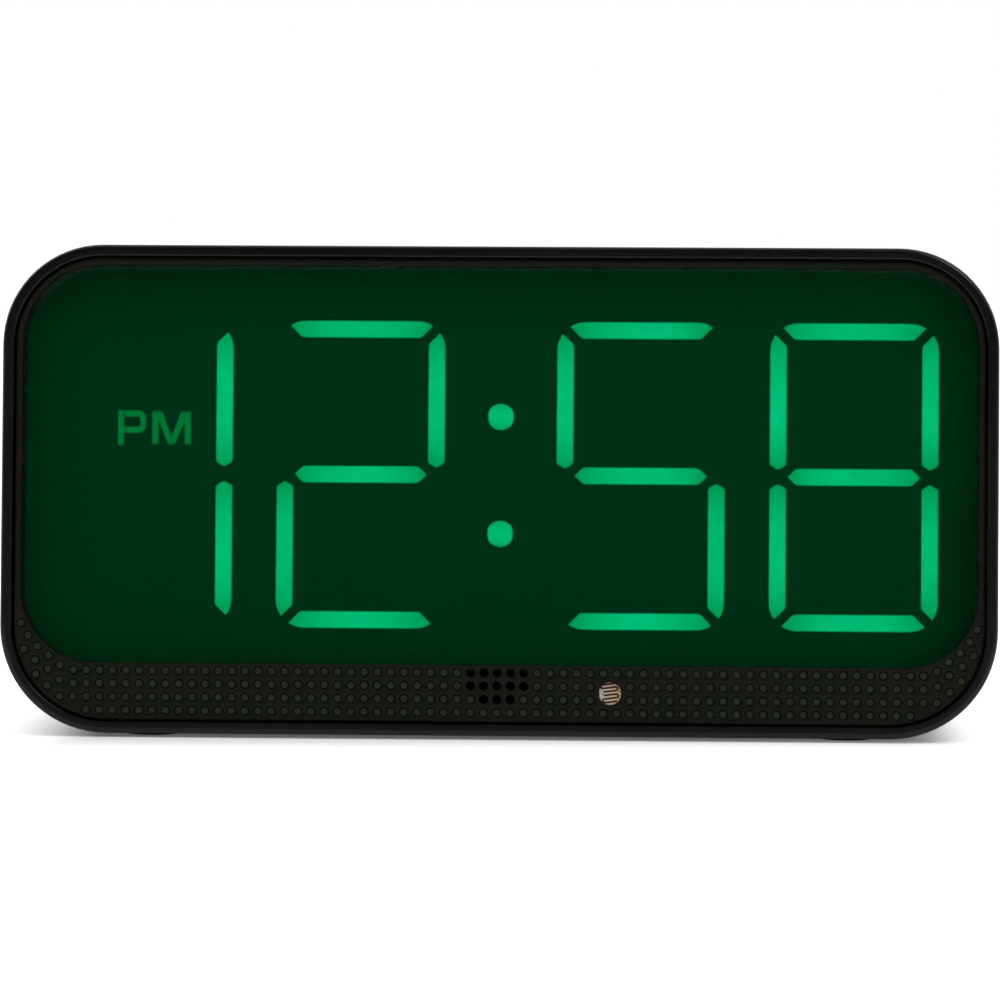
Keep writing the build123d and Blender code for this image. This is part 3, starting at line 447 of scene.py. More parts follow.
def lit_resin(name, strength, near, far):
    """Cast green resin over a glowing chip: brightest over the chip, dimmer and greener at the ends."""
    material, tree = new_material(name)
    run = add_node(tree, "ShaderNodeUVMap", uv_map="Run")
    parts = add_node(tree, "ShaderNodeSeparateXYZ", {"Vector": run.outputs["UV"]})
    spot = add_node(tree, "ShaderNodeTexCoord").outputs["Object"]
    cloud = add_node(tree, "ShaderNodeTexNoise", {"Vector": spot, "Scale": 1 / GLOW_DRIFT, "Detail": 1.0})
    away = add_node(
        tree,
        "ShaderNodeMath",
        {0: parts.outputs["X"], 1: 0.5},
        operation="SUBTRACT",
    )
    square = add_node(tree, "ShaderNodeMath", {0: away.outputs[0], 1: away.outputs[0]}, operation="MULTIPLY")
    fall = add_node(
        tree,
        "ShaderNodeMapRange",
        {"Value": square.outputs[0], "From Min": 0.02, "From Max": 0.22, "To Min": 1.0, "To Max": 0.0},
    )
    waver = add_node(
        tree,
        "ShaderNodeMapRange",
        {
            "Value": cloud.outputs["Fac"],
            "From Min": 0.3,
            "From Max": 0.7,
            "To Min": 0.7,
            "To Max": 1.0,
        },
    )
    near_share = add_node(
        tree, "ShaderNodeMath", {0: fall.outputs["Result"], 1: waver.outputs["Result"]}, operation="MULTIPLY"
    )
    glow = add_node(
        tree,
        "ShaderNodeMix",
        {"Factor": near_share.outputs[0], 6: far, 7: near},
        data_type="RGBA",
    )
    inside = add_node(tree, "ShaderNodeMath", {0: parts.outputs["Y"], 1: 0.5}, operation="PINGPONG")
    soft = add_node(
        tree,
        "ShaderNodeMapRange",
        {
            "Value": inside.outputs[0],
            "From Min": 0.0,
            "From Max": SOFT_EDGE,
            "To Min": EDGE_GLOW * strength,
            "To Max": strength,
        },
        interpolation_type="SMOOTHSTEP",
    )
    shader = add_node(
        tree,
        "ShaderNodeBsdfPrincipled",
        {
            "Base Color": linear("#062A18"),
            "Roughness": 0.4,
            "IOR": 1.5,
            "Emission Color": glow.outputs[2],
            "Emission Strength": soft.outputs["Result"],
        },
    )
    add_node(tree, "ShaderNodeOutputMaterial", {"Surface": shader.outputs["BSDF"]})
    return material


def circuit_board():
    """Solder mask over glass laminate: green gloss, paler where copper tracks run under it."""
    material, tree = new_material("Solder mask")
    spot = add_node(tree, "ShaderNodeTexCoord").outputs["Object"]
    tracks = add_node(
        tree,
        "ShaderNodeTexBrick",
        {
            "Vector": spot,
            "Color1": linear("#0B3A1C"),
            "Color2": linear("#0D4020"),
            "Mortar": linear("#1E6A38"),
            "Scale": 1 / BOARD_TRACKS,
            "Mortar Size": 0.02,
        },
    )
    shader = add_node(
        tree,
        "ShaderNodeBsdfPrincipled",
        {"Base Color": tracks.outputs["Color"], "Roughness": 0.3, "IOR": 1.5},
    )
    add_node(tree, "ShaderNodeOutputMaterial", {"Surface": shader.outputs["BSDF"]})
    return material


def cell_sleeve():
    """Shrink sleeve of a battery cell: plain dark label with a pale band and bare steel at both ends."""
    material, tree = new_material("Battery sleeve")
    spot = add_node(tree, "ShaderNodeTexCoord").outputs["Object"]
    parts = add_node(tree, "ShaderNodeSeparateXYZ", {"Vector": spot})
    bands = add_node(
        tree,
        "ShaderNodeMapRange",
        {"Value": parts.outputs["X"], "From Min": -SLEEVE_REACH, "From Max": SLEEVE_REACH},
    )
    ramp = add_node(tree, "ShaderNodeValToRGB", {"Fac": bands.outputs["Result"]})
    ramp.color_ramp.interpolation = "CONSTANT"
    stops = ramp.color_ramp.elements
    stops[0].position = 0.0
    stops[0].color = linear("#B9BCBE")
    stops[1].position = 0.11
    stops[1].color = linear("#2B2D30")
    for position, code in ((0.45, "#8C8F93"), (0.56, "#2B2D30"), (0.89, "#B9BCBE")):
        stops.new(position).color = linear(code)
    scuff = add_node(tree, "ShaderNodeTexNoise", {"Vector": spot, "Scale": 1 / SLEEVE_SCUFF, "Detail": 3.0})
    gloss = add_node(
        tree, "ShaderNodeMapRange", {"Value": scuff.outputs["Fac"], "To Min": 0.2, "To Max": 0.4}
    )
    shader = add_node(
        tree,
        "ShaderNodeBsdfPrincipled",
        {
            "Base Color": ramp.outputs["Color"],
            "Metallic": 0.3,
            "Roughness": gloss.outputs["Result"],
        },
    )
    add_node(tree, "ShaderNodeOutputMaterial", {"Surface": shader.outputs["BSDF"]})
    return material


def coated_ceramic(centre):
    """Sintered ceramic under a clear coat: dull cream, yellower towards the side that has aged."""
    material, tree = new_material("Coated ceramic")
    colours = bpy.context.scene.clock_colours
    spot = add_node(tree, "ShaderNodeTexCoord").outputs["Object"]
    own = add_node(tree, "ShaderNodeMapping", {"Vector": spot, "Location": -centre})
    parts = add_node(tree, "ShaderNodeSeparateXYZ", {"Vector": own.outputs["Vector"]})
    aged = add_node(
        tree,
        "ShaderNodeMapRange",
        {
            "Value": parts.outputs["X"],
            "From Min": -SENSOR_FACE_RADIUS * MM,
            "From Max": SENSOR_FACE_RADIUS * MM,
        },
    )
    fine = add_node(tree, "ShaderNodeTexNoise", {"Vector": spot, "Scale": 1 / COAT_GRAIN, "Detail": 3.0})
    drift = add_node(
        tree,
        "ShaderNodeMath",
        {0: fine.outputs["Fac"], 1: 0.5, 2: aged.outputs["Result"]},
        operation="MULTIPLY_ADD",
    )
    share = add_node(
        tree, "ShaderNodeMapRange", {"Value": drift.outputs[0], "From Min": 0.25, "From Max": 1.25}
    )
    tone = add_node(
        tree,
        "ShaderNodeMix",
        {"Factor": share.outputs["Result"], 6: colours.ceramic, 7: colours.ceramic_aged},
        data_type="RGBA",
    )
    bump = add_node(
        tree,
        "ShaderNodeBump",
        {"Height": fine.outputs["Fac"], "Strength": 0.4, "Distance": 0.01 * MM},
    )
    shader = add_node(
        tree,
        "ShaderNodeBsdfPrincipled",
        {
            "Base Color": tone.outputs[2],
            "Roughness": 0.35,
            "IOR": 1.5,
            "Normal": bump.outputs["Normal"],
        },
    )
    add_node(tree, "ShaderNodeOutputMaterial", {"Surface": shader.outputs["BSDF"]})
    return material


def make_piece(name, mesh, materials, body, slot, *replaced):
    """Stand a flat-drawn mesh on the face and make it a finished piece that rides on its body."""
    bmesh.ops.transform(mesh, matrix=STAND_ON_FACE, verts=mesh.verts)
    return finish_piece(name, mesh, materials, body, slot, *replaced)


def finish_piece(name, mesh, materials, body, slot, *replaced):
    """Make a mesh in the row frame a finished piece that rides on its body."""
    data = bpy.data.meshes.new(name)
    for face in mesh.faces:
        face.smooth = True
    mesh.to_mesh(data)
    mesh.free()
    data.set_sharp_from_angle(angle=SHARP_ANGLE)
    for material in materials:
        data.materials.append(material)
    piece = bpy.data.objects.new(name, data)
    bpy.context.scene.collection.objects.link(piece)
    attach(piece, body)
    if replaced:
        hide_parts(*replaced)
    return piece


def absorb(whole, part):
    """Add a part's mesh to the whole and free it."""
    data = bpy.data.meshes.new("part")
    part.to_mesh(data)
    part.free()
    whole.from_mesh(data)
    bpy.data.meshes.remove(data)


def roll_down(radius, count):
    """Steps, inwards and in height, that roll a flat edge down into an upright wall."""
    angles = [pi / 2 * index / count for index in range(count + 1)]
    return [(radius * (sin(b) - sin(a)), radius * (cos(b) - cos(a))) for a, b in zip(angles, angles[1:])]


def roll_up(radius, count):
    """Steps, inwards and in height, that roll an upright wall over into a flat top."""
    angles = [pi / 2 * index / count for index in range(count + 1)]
    return [(radius * (cos(a) - cos(b)), radius * (sin(b) - sin(a))) for a, b in zip(angles, angles[1:])]


def inset_steps(mesh, steps, face=None):
    """Inset a face, the mesh's first one unless it is given, step by step, and return it."""
    if face is None:
        mesh.faces.ensure_lookup_table()
        face = mesh.faces[0]
    for inward, height in steps:
        bmesh.ops.inset_region(
            mesh, faces=[face], thickness=inward, depth=height, use_even_offset=True, use_boundary=True
        )
    return face


def rounded_face(half_width, low, high, low_radius, high_radius, level):
    """A mesh with one upright rectangle of rounded corners, seen from the front."""
    mesh = bmesh.new()
    corners = [
        mesh.verts.new((across, up, level))
        for across, up in ((-half_width, low), (half_width, low), (half_width, high), (-half_width, high))
    ]
    mesh.faces.new(corners)
    for pair, radius in ((corners[:2], low_radius), (corners[2:], high_radius)):
        bmesh.ops.bevel(
            mesh,
            geom=pair,
            offset=radius,
            offset_type="OFFSET",
            segments=CORNER_STEPS,
            profile=0.5,
            affect="VERTICES",
            material=-1,
        )
    return mesh


def bore(radius, sides, steps, through=False):
    """A round hole or dimple below the panel's front: a rolled mouth, then steps inwards and down."""
    mesh = bmesh.new()
    bmesh.ops.create_circle(
        mesh,
        cap_ends=True,
        radius=radius,
        segments=sides,
        matrix=Matrix.Translation((0, 0, -PANEL_FRONT)),
    )
    floor = inset_steps(mesh, roll_down(MOUTH_ROLL, 1) + steps)
    floor.material_index = 1
    if through:
        bmesh.ops.delete(mesh, geom=[floor], context="FACES_ONLY")
    return mesh


def fill_between(mesh, level):
    """Close the plate between the open edges at one level with flat faces."""
    rim = [
        edge
        for edge in mesh.edges
        if edge.is_boundary and all(abs(vert.co.z - level) < LEVEL_TOLERANCE for vert in edge.verts)
    ]
    bmesh.ops.triangle_fill(mesh, use_beauty=True, use_dissolve=False, edges=rim, normal=(0, 0, 1))


def row_places(reaches, pitch):
    """Places in rows that reach so many columns to each side of the middle."""
    return [
        (column * pitch, ROW_TOP - row * pitch)
        for row, reach in enumerate(reaches)
        for column in range(-reach, reach + 1)
    ]


def dimple_places(pitch):
    """Places of the sound holes, of the blind dimples round them, and of the light sensor."""
    rows = row_places(ROW_REACHES, pitch)
    holes = row_places(HOLE_REACHES, pitch)
    sensor = (SENSOR_COLUMN * pitch, ROW_TOP - SENSOR_ROW * pitch)
    corner = (WINDOW_HALF_WIDTH - WINDOW_LOW_RADIUS, WINDOW_LOW + WINDOW_LOW_RADIUS)
    arcs = [
        (side * (corner[0] + radius * cos(angle)), corner[1] - radius * sin(angle))
        for radius, start, step, count in ARCS
        for angle in [radians(start - step * index) for index in range(count)]
        for side in (-1, 1)
    ]
    blind = [
        spot
        for spot in rows
        if spot not in holes
        and (abs(spot[0] - sensor[0]) > pitch or abs(spot[1] - sensor[1]) > pitch)
    ]
    return holes, blind + arcs, sensor


class CLOCK_OT_front_panel(bpy.types.Operator):
    """Build the inset front panel with its round dimples, sound holes and sensor hole"""

    bl_idname = "clock.front_panel"
    bl_label = "Front panel"

    def execute(self, context):
        grain = context.scene.clock_grain
        pitch = grain.dimple_pitch / MM
        depth = grain.dimple_depth / MM
        thickness = PANEL_BACK - PANEL_FRONT
        whole = rounded_face(
            PANEL_HALF_WIDTH,
            -PANEL_HALF_HEIGHT,
            PANEL_HALF_HEIGHT,
            PANEL_LOW_RADIUS,
            PANEL_HIGH_RADIUS,
            -PANEL_BACK,
        )
        front = inset_steps(whole, [(0.0, thickness - EDGE_ROLL)] + roll_up(EDGE_ROLL, EDGE_STEPS))
        bmesh.ops.delete(whole, geom=[front], context="FACES_ONLY")
        window = rounded_face(
            WINDOW_HALF_WIDTH + EDGE_ROLL,
            WINDOW_LOW - EDGE_ROLL,
            WINDOW_HIGH + EDGE_ROLL,
            WINDOW_LOW_RADIUS + EDGE_ROLL,
            WINDOW_HIGH_RADIUS + EDGE_ROLL,
            -PANEL_FRONT,
        )
        back = inset_steps(window, roll_down(EDGE_ROLL, EDGE_STEPS) + [(0.0, EDGE_ROLL - thickness)])
        bmesh.ops.delete(window, geom=[back], context="FACES_ONLY")
        absorb(whole, window)
        holes, blind, sensor = dimple_places(pitch)
        groove = [
            (0.0, MOUTH_ROLL - DIMPLE_GROOVE_DEPTH),
            (DIMPLE_GROOVE, 0.0),
            (0.0, DIMPLE_GROOVE_DEPTH - depth),
        ]
        straight = [(0.0, MOUTH_ROLL - thickness)]
        dimple = bore(DIMPLE_RADIUS, DIMPLE_SIDES, groove)
        hole = bore(DIMPLE_RADIUS, DIMPLE_SIDES, straight, through=True)
        eye = bore(SENSOR_HOLE_RADIUS, SENSOR_HOLE_SIDES, straight, through=True)
        for shape, spots in ((dimple, blind), (hole, holes), (eye, [sensor])):
            for spot in spots:
                copy = shape.copy()
                bmesh.ops.translate(copy, vec=(*spot, 0), verts=copy.verts)
                absorb(whole, copy)
            shape.free()
        fill_between(whole, -PANEL_FRONT)
        fill_between(whole, -PANEL_BACK)
        bmesh.ops.recalc_face_normals(whole, faces=whole.faces)
        if any(edge.is_boundary for edge in whole.edges):
            raise RuntimeError("the front panel has open edges")
        colours = context.scene.clock_colours
        # Textured ABS: dark olive and dull, patchy where the mould's eroded face has worn.
        textured = moulded(
            "Textured ABS",
            colours.panel,
            grain.panel,
            0.02 * MM,
            0.5,
            mottle=0.4,
            specular=0.12,
            stain=colours.stain,
        )
        # Smooth ABS: the dimples' floors come off polished pins; their paler colour is painted light,
        # standing in for the light that falls on the recessed floors.
        painted_light_floors = moulded(
            "Smooth ABS",
            colours.dimple,
            grain.panel,
            0.003 * MM,
            0.5,
            mottle=0.1,
            specular=0.15,
            stain=colours.dimple_stain,
        )
        make_piece("panel_dimpled", whole, [textured, painted_light_floors], "case", "panel_olive", "front_panel")
        return {"FINISHED"}


def island_faces(mesh):
    """The faces of each separate solid of a mesh."""
    waiting = set(mesh.faces)
    while waiting:
        found = {waiting.pop()}
        border = set(found)
        while border:
            near = {face for each in border for edge in each.edges for face in edge.link_faces}
            border = near - found
            found |= border
        waiting -= found
        yield found


def map_runs(mesh):
    """Give each lit window a map that runs from one end to the other, and from edge to edge."""
    run = mesh.loops.layers.uv.new("Run")
    flat = STAND_ON_FACE.inverted()
    for faces in island_faces(mesh):
        spots = [flat @ loop.vert.co for face in faces for loop in face.loops]
        low = Vector([min(spot[axis] for spot in spots) for axis in range(2)])
        high = Vector([max(spot[axis] for spot in spots) for axis in range(2)])
        size = high - low
        lengthwise = 0 if size.x > size.y else 1
        for face in faces:
            for loop in face.loops:
                spot = flat @ loop.vert.co
                share = [(spot[axis] - low[axis]) / size[axis] for axis in range(2)]
                loop[run].uv = (share[lengthwise], share[1 - lengthwise])


class CLOCK_OT_display(bpy.types.Operator):
    """Light the segments, the colon and the PM sign behind the tinted lens"""

    bl_idname = "clock.display"
    bl_label = "Display"

    def execute(self, context):
        colours = context.scene.clock_colours
        finish = lit_resin("Lit green resin", SEGMENT_GLOW, colours.lit, colours.lit_end)
        for name, new_name in (("segments_lit", "segments_glowing"), ("colon_dots", "colon_glowing")):
            mesh = bmesh.new()
            mesh.from_mesh(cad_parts[name].data)
            bmesh.ops.remove_doubles(mesh, verts=mesh.verts, dist=WELD * MM)
            map_runs(mesh)
            finish_piece(new_name, mesh, [finish], "case", "segment_lit", name)
        letters = bmesh.new()
        self.add_p(letters)
        self.add_m(letters)
        for face in list(letters.faces):
            solid = bmesh.ops.extrude_face_region(letters, geom=[face])
            raised = [item for item in solid["geom"] if isinstance(item, bmesh.types.BMVert)]
            bmesh.ops.translate(letters, vec=(0, 0, LETTER_THICKNESS), verts=raised)
        bmesh.ops.recalc_face_normals(letters, faces=letters.faces)
        bmesh.ops.transform(letters, matrix=STAND_ON_FACE, verts=letters.verts)
        map_runs(letters)
        dim = lit_resin("Dim green resin", SIGN_GLOW, colours.sign, colours.sign)
        finish_piece("pm_letters", letters, [dim], "case", "segment_lit")
        paint(unlit_resin(), "segments_unlit", "pm_window")
        paint(tinted_acrylic(), "display_lens")
        paint(frosted_film(), "diffuser_sheet")
        return {"FINISHED"}

    def add_p(self, letters):
        """The letter P: a stem and a bowl with a rounded right side."""
        level = -PANE_FRONT
        bowl = rounded_face(
            P_WIDTH / 2,
            -P_BOWL_HEIGHT / 2,
            P_BOWL_HEIGHT / 2,
            P_BOWL_RADIUS,
            P_BOWL_RADIUS,
            level,
        )
        counter = inset_steps(bowl, [(LETTER_STROKE, 0.0)])
        bmesh.ops.delete(bowl, geom=[counter], context="FACES_ONLY")
        bmesh.ops.translate(
            bowl,
            vec=(P_LEFT + P_WIDTH / 2, LETTER_LOW + LETTER_HEIGHT - P_BOWL_HEIGHT / 2, 0),
            verts=bowl.verts,
        )
        bmesh.ops.bisect_plane(
            bowl,
            geom=bowl.verts[:] + bowl.edges[:] + bowl.faces[:],
            plane_co=(P_LEFT + LETTER_STROKE, 0, 0),
            plane_no=(1, 0, 0),
            clear_inner=True,
        )
        absorb(letters, bowl)
        stem = [
            (P_LEFT, LETTER_LOW),
            (P_LEFT + LETTER_STROKE, LETTER_LOW),
            (P_LEFT + LETTER_STROKE, LETTER_LOW + LETTER_HEIGHT),
            (P_LEFT, LETTER_LOW + LETTER_HEIGHT),
        ]
        letters.faces.new([letters.verts.new((*spot, level)) for spot in stem])

    def add_m(self, letters):
        """The letter M: one half drawn, the other mirrored."""
        level = -PANE_FRONT
        middle = M_WIDTH / 2
        half = bmesh.new()
        outline = [
            (0, 0),
            (LETTER_STROKE, 0),
            (LETTER_STROKE, M_STEM_NOTCH),
            (M_APEX, 0),
            (middle, 0),
            (middle, M_V_NOTCH),
            (M_SHOULDER, LETTER_HEIGHT),
            (0, LETTER_HEIGHT),
        ]
        half.faces.new([half.verts.new((x - middle, y, level)) for x, y in outline])
        bmesh.ops.mirror(half, geom=half.verts[:] + half.edges[:] + half.faces[:], axis="X", merge_dist=WELD)
        bmesh.ops.translate(half, vec=(M_LEFT + middle, LETTER_LOW, 0), verts=half.verts)
        absorb(letters, half)


def unlit_resin():
    """Cast green resin with no light behind it: nearly black through the lens."""
    return moulded("Unlit green resin", linear("#04150C"), 0.5 * MM, 0.01 * MM, 0.5)


def paint(material, *names):
    """Give CAD nodes a material in place of their plain one."""
    for name in names:
        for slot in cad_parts[name].material_slots:
            slot.material = material


class CLOCK_OT_case(bpy.types.Operator):
    """Finish the case, the keys, the door and the feet"""

    bl_idname = "clock.case"
    bl_label = "Case and keys"

    def execute(self, context):
        colours = context.scene.clock_colours
        grain = context.scene.clock_grain
        # Satin ABS: black with a soft sheen along the rim.
        satin = moulded("Satin ABS", colours.case, grain.case, 0.015 * MM, 0.28, mottle=0.4, specular=0.3)
        paint(satin, "front_shell", "rear_shell", "battery_door")
        # Polished ABS: a shade lighter and glossier, as keys wear.
        smooth = moulded("Polished ABS", colours.key, grain.case, 0.006 * MM, 0.24)
        paint(smooth, "snooze_bar", "hour_key", "minute_key", "time_key", "alarm_key", "alarm_knob")
        # Silicone rubber: dull, with a soft grey cast where light grazes it.
        rubber = moulded("Silicone rubber", linear("#121213"), 0.2 * MM, 0.02 * MM, 0.8, specular=0.35)
        paint(rubber, "rubber_feet")
        return {"FINISHED"}


class CLOCK_OT_inside(bpy.types.Operator):
    """Finish the boards, the chips, the sounder and the metal parts"""

    bl_idname = "clock.inside"
    bl_label = "Inside parts"

    def execute(self, context):
        paint(circuit_board(), "display_board", "main_board", "key_board")
        # Moulded epoxy: charcoal, matt from its mould's spark-eroded face.
        epoxy = moulded("Moulded epoxy", linear("#1B1B1C"), 0.15 * MM, 0.02 * MM, 0.5)
        paint(epoxy, "clock_chip", "driver_chip", "sounder")
        # Glass-filled nylon: black and a little fibrous, as on small switches and sockets.
        nylon = moulded("Glass-filled nylon", linear("#141415"), 0.2 * MM, 0.02 * MM, 0.42)
        paint(nylon, "switch_housings", "alarm_switch", "dc_jack", "board_link")
        # Acetal: off-white and waxy, as switch plungers are.
        acetal = moulded("Acetal", linear("#D8D4C8"), 0.4 * MM, 0.006 * MM, 0.35, mottle=0.04)
        paint(acetal, "alarm_lever", "snooze_plunger", "hour_plunger", "minute_plunger")
        paint(acetal, "time_plunger", "alarm_plunger")
        # Light-absorbing polycarbonate: matt dark green, so no light strays between segments.
        block = moulded("Dark polycarbonate", linear("#0A120C"), 0.4 * MM, 0.02 * MM, 0.6)
        paint(block, "led_reflector")
        # Clear epoxy over a light-emitting chip: pale and glossy.
        clear = moulded("Cast clear epoxy", linear("#D9DCC4"), 0.5 * MM, 0.004 * MM, 0.15, mottle=0.05)
        paint(clear, "led_chips")
        # Polyurethane foam: open cells, dark and very matt.
        foam = moulded("Polyurethane foam", linear("#161616"), 0.5 * MM, 0.2 * MM, 0.95, mottle=0.5)
        paint(foam, "sounder_gasket")
        # Polyester sleeve over an aluminium can: dark blue and glossy.
        sleeve = moulded("Polyester sleeve", linear("#1A2233"), 0.6 * MM, 0.005 * MM, 0.25)
        paint(sleeve, "capacitor")
        paint(cell_sleeve(), "battery_cells")
        # Zinc-plated steel: bluish grey with a dull shine.
        steel = brushed_metal("Zinc-plated steel", "#B4B6B8", 0.34)
        paint(steel, "battery_plates", "case_screws", "board_screws", "main_board_screws")
        paint(steel, "key_board_screws", "battery_springs", "jack_contact")
        # Drawn steel: paler and shinier than the plated parts.
        paint(brushed_metal("Drawn steel can", "#C4C5C4", 0.26), "crystal_can")
        return {"FINISHED"}


class CLOCK_OT_sensor(bpy.types.Operator):
    """Build the light sensor: ceramic disc, winding track and two lead ends"""

    bl_idname = "clock.sensor"
    bl_label = "Light sensor"

    def execute(self, context):
        colours = context.scene.clock_colours
        pitch = context.scene.clock_grain.dimple_pitch / MM
        where = dimple_places(pitch)[2]
        centre = Matrix.Translation((*where, -SENSOR_FACE)) @ Matrix.Rotation(SENSOR_TURN, 4, "Z")
        # Cadmium sulphide film: very dark red, slightly glossy under the coat.
        film = moulded("Cadmium sulphide film", colours.track, 0.2 * MM, 0.004 * MM, 0.3)
        # Tinned lead: bright and even, because molten tin leaves no lines.
        solder = brushed_metal("Tinned lead", "#F2F1EC", 0.3, along=(1.0, 1.0, 1.0))
        disc = bmesh.new()
        thickness = SENSOR_BACK - SENSOR_FRONT
        bmesh.ops.create_cone(
            disc,
            cap_ends=True,
            segments=SENSOR_HOLE_SIDES,
            radius1=SENSOR_RADIUS,
            radius2=SENSOR_RADIUS,
            depth=thickness,
            matrix=Matrix.Translation((0, 0, SENSOR_FACE - SENSOR_FRONT - thickness / 2)),
        )
        top = max(disc.faces, key=lambda face: face.calc_center_median().z)
        inset_steps(
            disc, [(SENSOR_RADIUS - SENSOR_FACE_RADIUS, 0.0), (0.0, SENSOR_FRONT - SENSOR_FACE)], top
        )
        bmesh.ops.bevel(
            disc,
            geom=top.edges[:],
            offset=SENSOR_EDGE,
            offset_type="OFFSET",
            segments=2,
            profile=0.5,
            affect="EDGES",
            material=-1,
        )
        bmesh.ops.transform(disc, matrix=centre, verts=disc.verts)
        ceramic = coated_ceramic(STAND_ON_FACE @ Vector((*where, -SENSOR_FACE)))
        make_piece("sensor_disc", disc, [ceramic], "case", "sensor", "photoresistor")
        track = self.winding()
        bmesh.ops.transform(track, matrix=centre, verts=track.verts)
        make_piece("sensor_track", track, [film], "case", "sensor")
        ends = bmesh.new()
        for across, half_width, half_height in LEAD_BEADS:
            bead = Matrix.Translation((across, 0, 0)) @ Matrix.Diagonal(
                (half_width, half_height, LEAD_BEAD_RISE, 1)
            )
            bmesh.ops.create_uvsphere(
                ends, u_segments=BEAD_SIDES, v_segments=BEAD_RINGS, radius=1, matrix=bead
            )
        reach = SENSOR_BACK - SENSOR_FACE + LEAD_TAIL
        for side in (-1, 1):
            bmesh.ops.create_cone(
                ends,
                cap_ends=True,
                segments=LEAD_SIDES,
                radius1=LEAD_RADIUS,
                radius2=LEAD_RADIUS,
                depth=reach - SENSOR_EDGE,
                matrix=Matrix.Translation((side * LEAD_SPREAD, 0, -(reach + SENSOR_EDGE) / 2)),
            )
        bmesh.ops.transform(ends, matrix=centre, verts=ends.verts)
        make_piece("sensor_leads", ends, [solder], "case", "sensor")
        return {"FINISHED"}

    def winding(self):
        """The track, swept from one small rectangle: three passes joined by half turns, and their mirror."""
        mesh = bmesh.new()
        half = TRACK_WIDTH / 2
        start_up = (TRACK_PASSES - 0.5) * TRACK_PITCH
        corners = [
            (TRACK_REACH, start_up - half, -half),
            (TRACK_REACH, start_up + half, -half),
            (TRACK_REACH, start_up + half, TRACK_RISE),
            (TRACK_REACH, start_up - half, TRACK_RISE),
        ]
        tip = mesh.faces.new([mesh.verts.new(corner) for corner in corners])
        way = -1
        for index in range(TRACK_PASSES):
            moved = bmesh.ops.extrude_face_region(mesh, geom=[tip])["geom"]
            verts = [item for item in moved if isinstance(item, bmesh.types.BMVert)]
            bmesh.ops.translate(mesh, vec=(way * 2 * TRACK_REACH, 0, 0), verts=verts)
            tip = next(item for item in moved if isinstance(item, bmesh.types.BMFace))
            if index < TRACK_PASSES - 1:
                turned = bmesh.ops.spin(
                    mesh,
                    geom=[tip],
                    cent=(way * TRACK_REACH, start_up - (index + 0.5) * TRACK_PITCH, 0),
                    axis=(0, 0, 1),
                    angle=-way * pi,
                    steps=TRACK_TURN_STEPS,
                    use_merge=False,
                )["geom_last"]
                tip = next(item for item in turned if isinstance(item, bmesh.types.BMFace))
            way = -way
        bmesh.ops.mirror(mesh, geom=mesh.verts[:] + mesh.edges[:] + mesh.faces[:], axis="Y", merge_dist=0.0)
        bmesh.ops.translate(mesh, vec=(0, TRACK_UP, 0), verts=mesh.verts)
        bmesh.ops.recalc_face_normals(mesh, faces=mesh.faces)
        return mesh


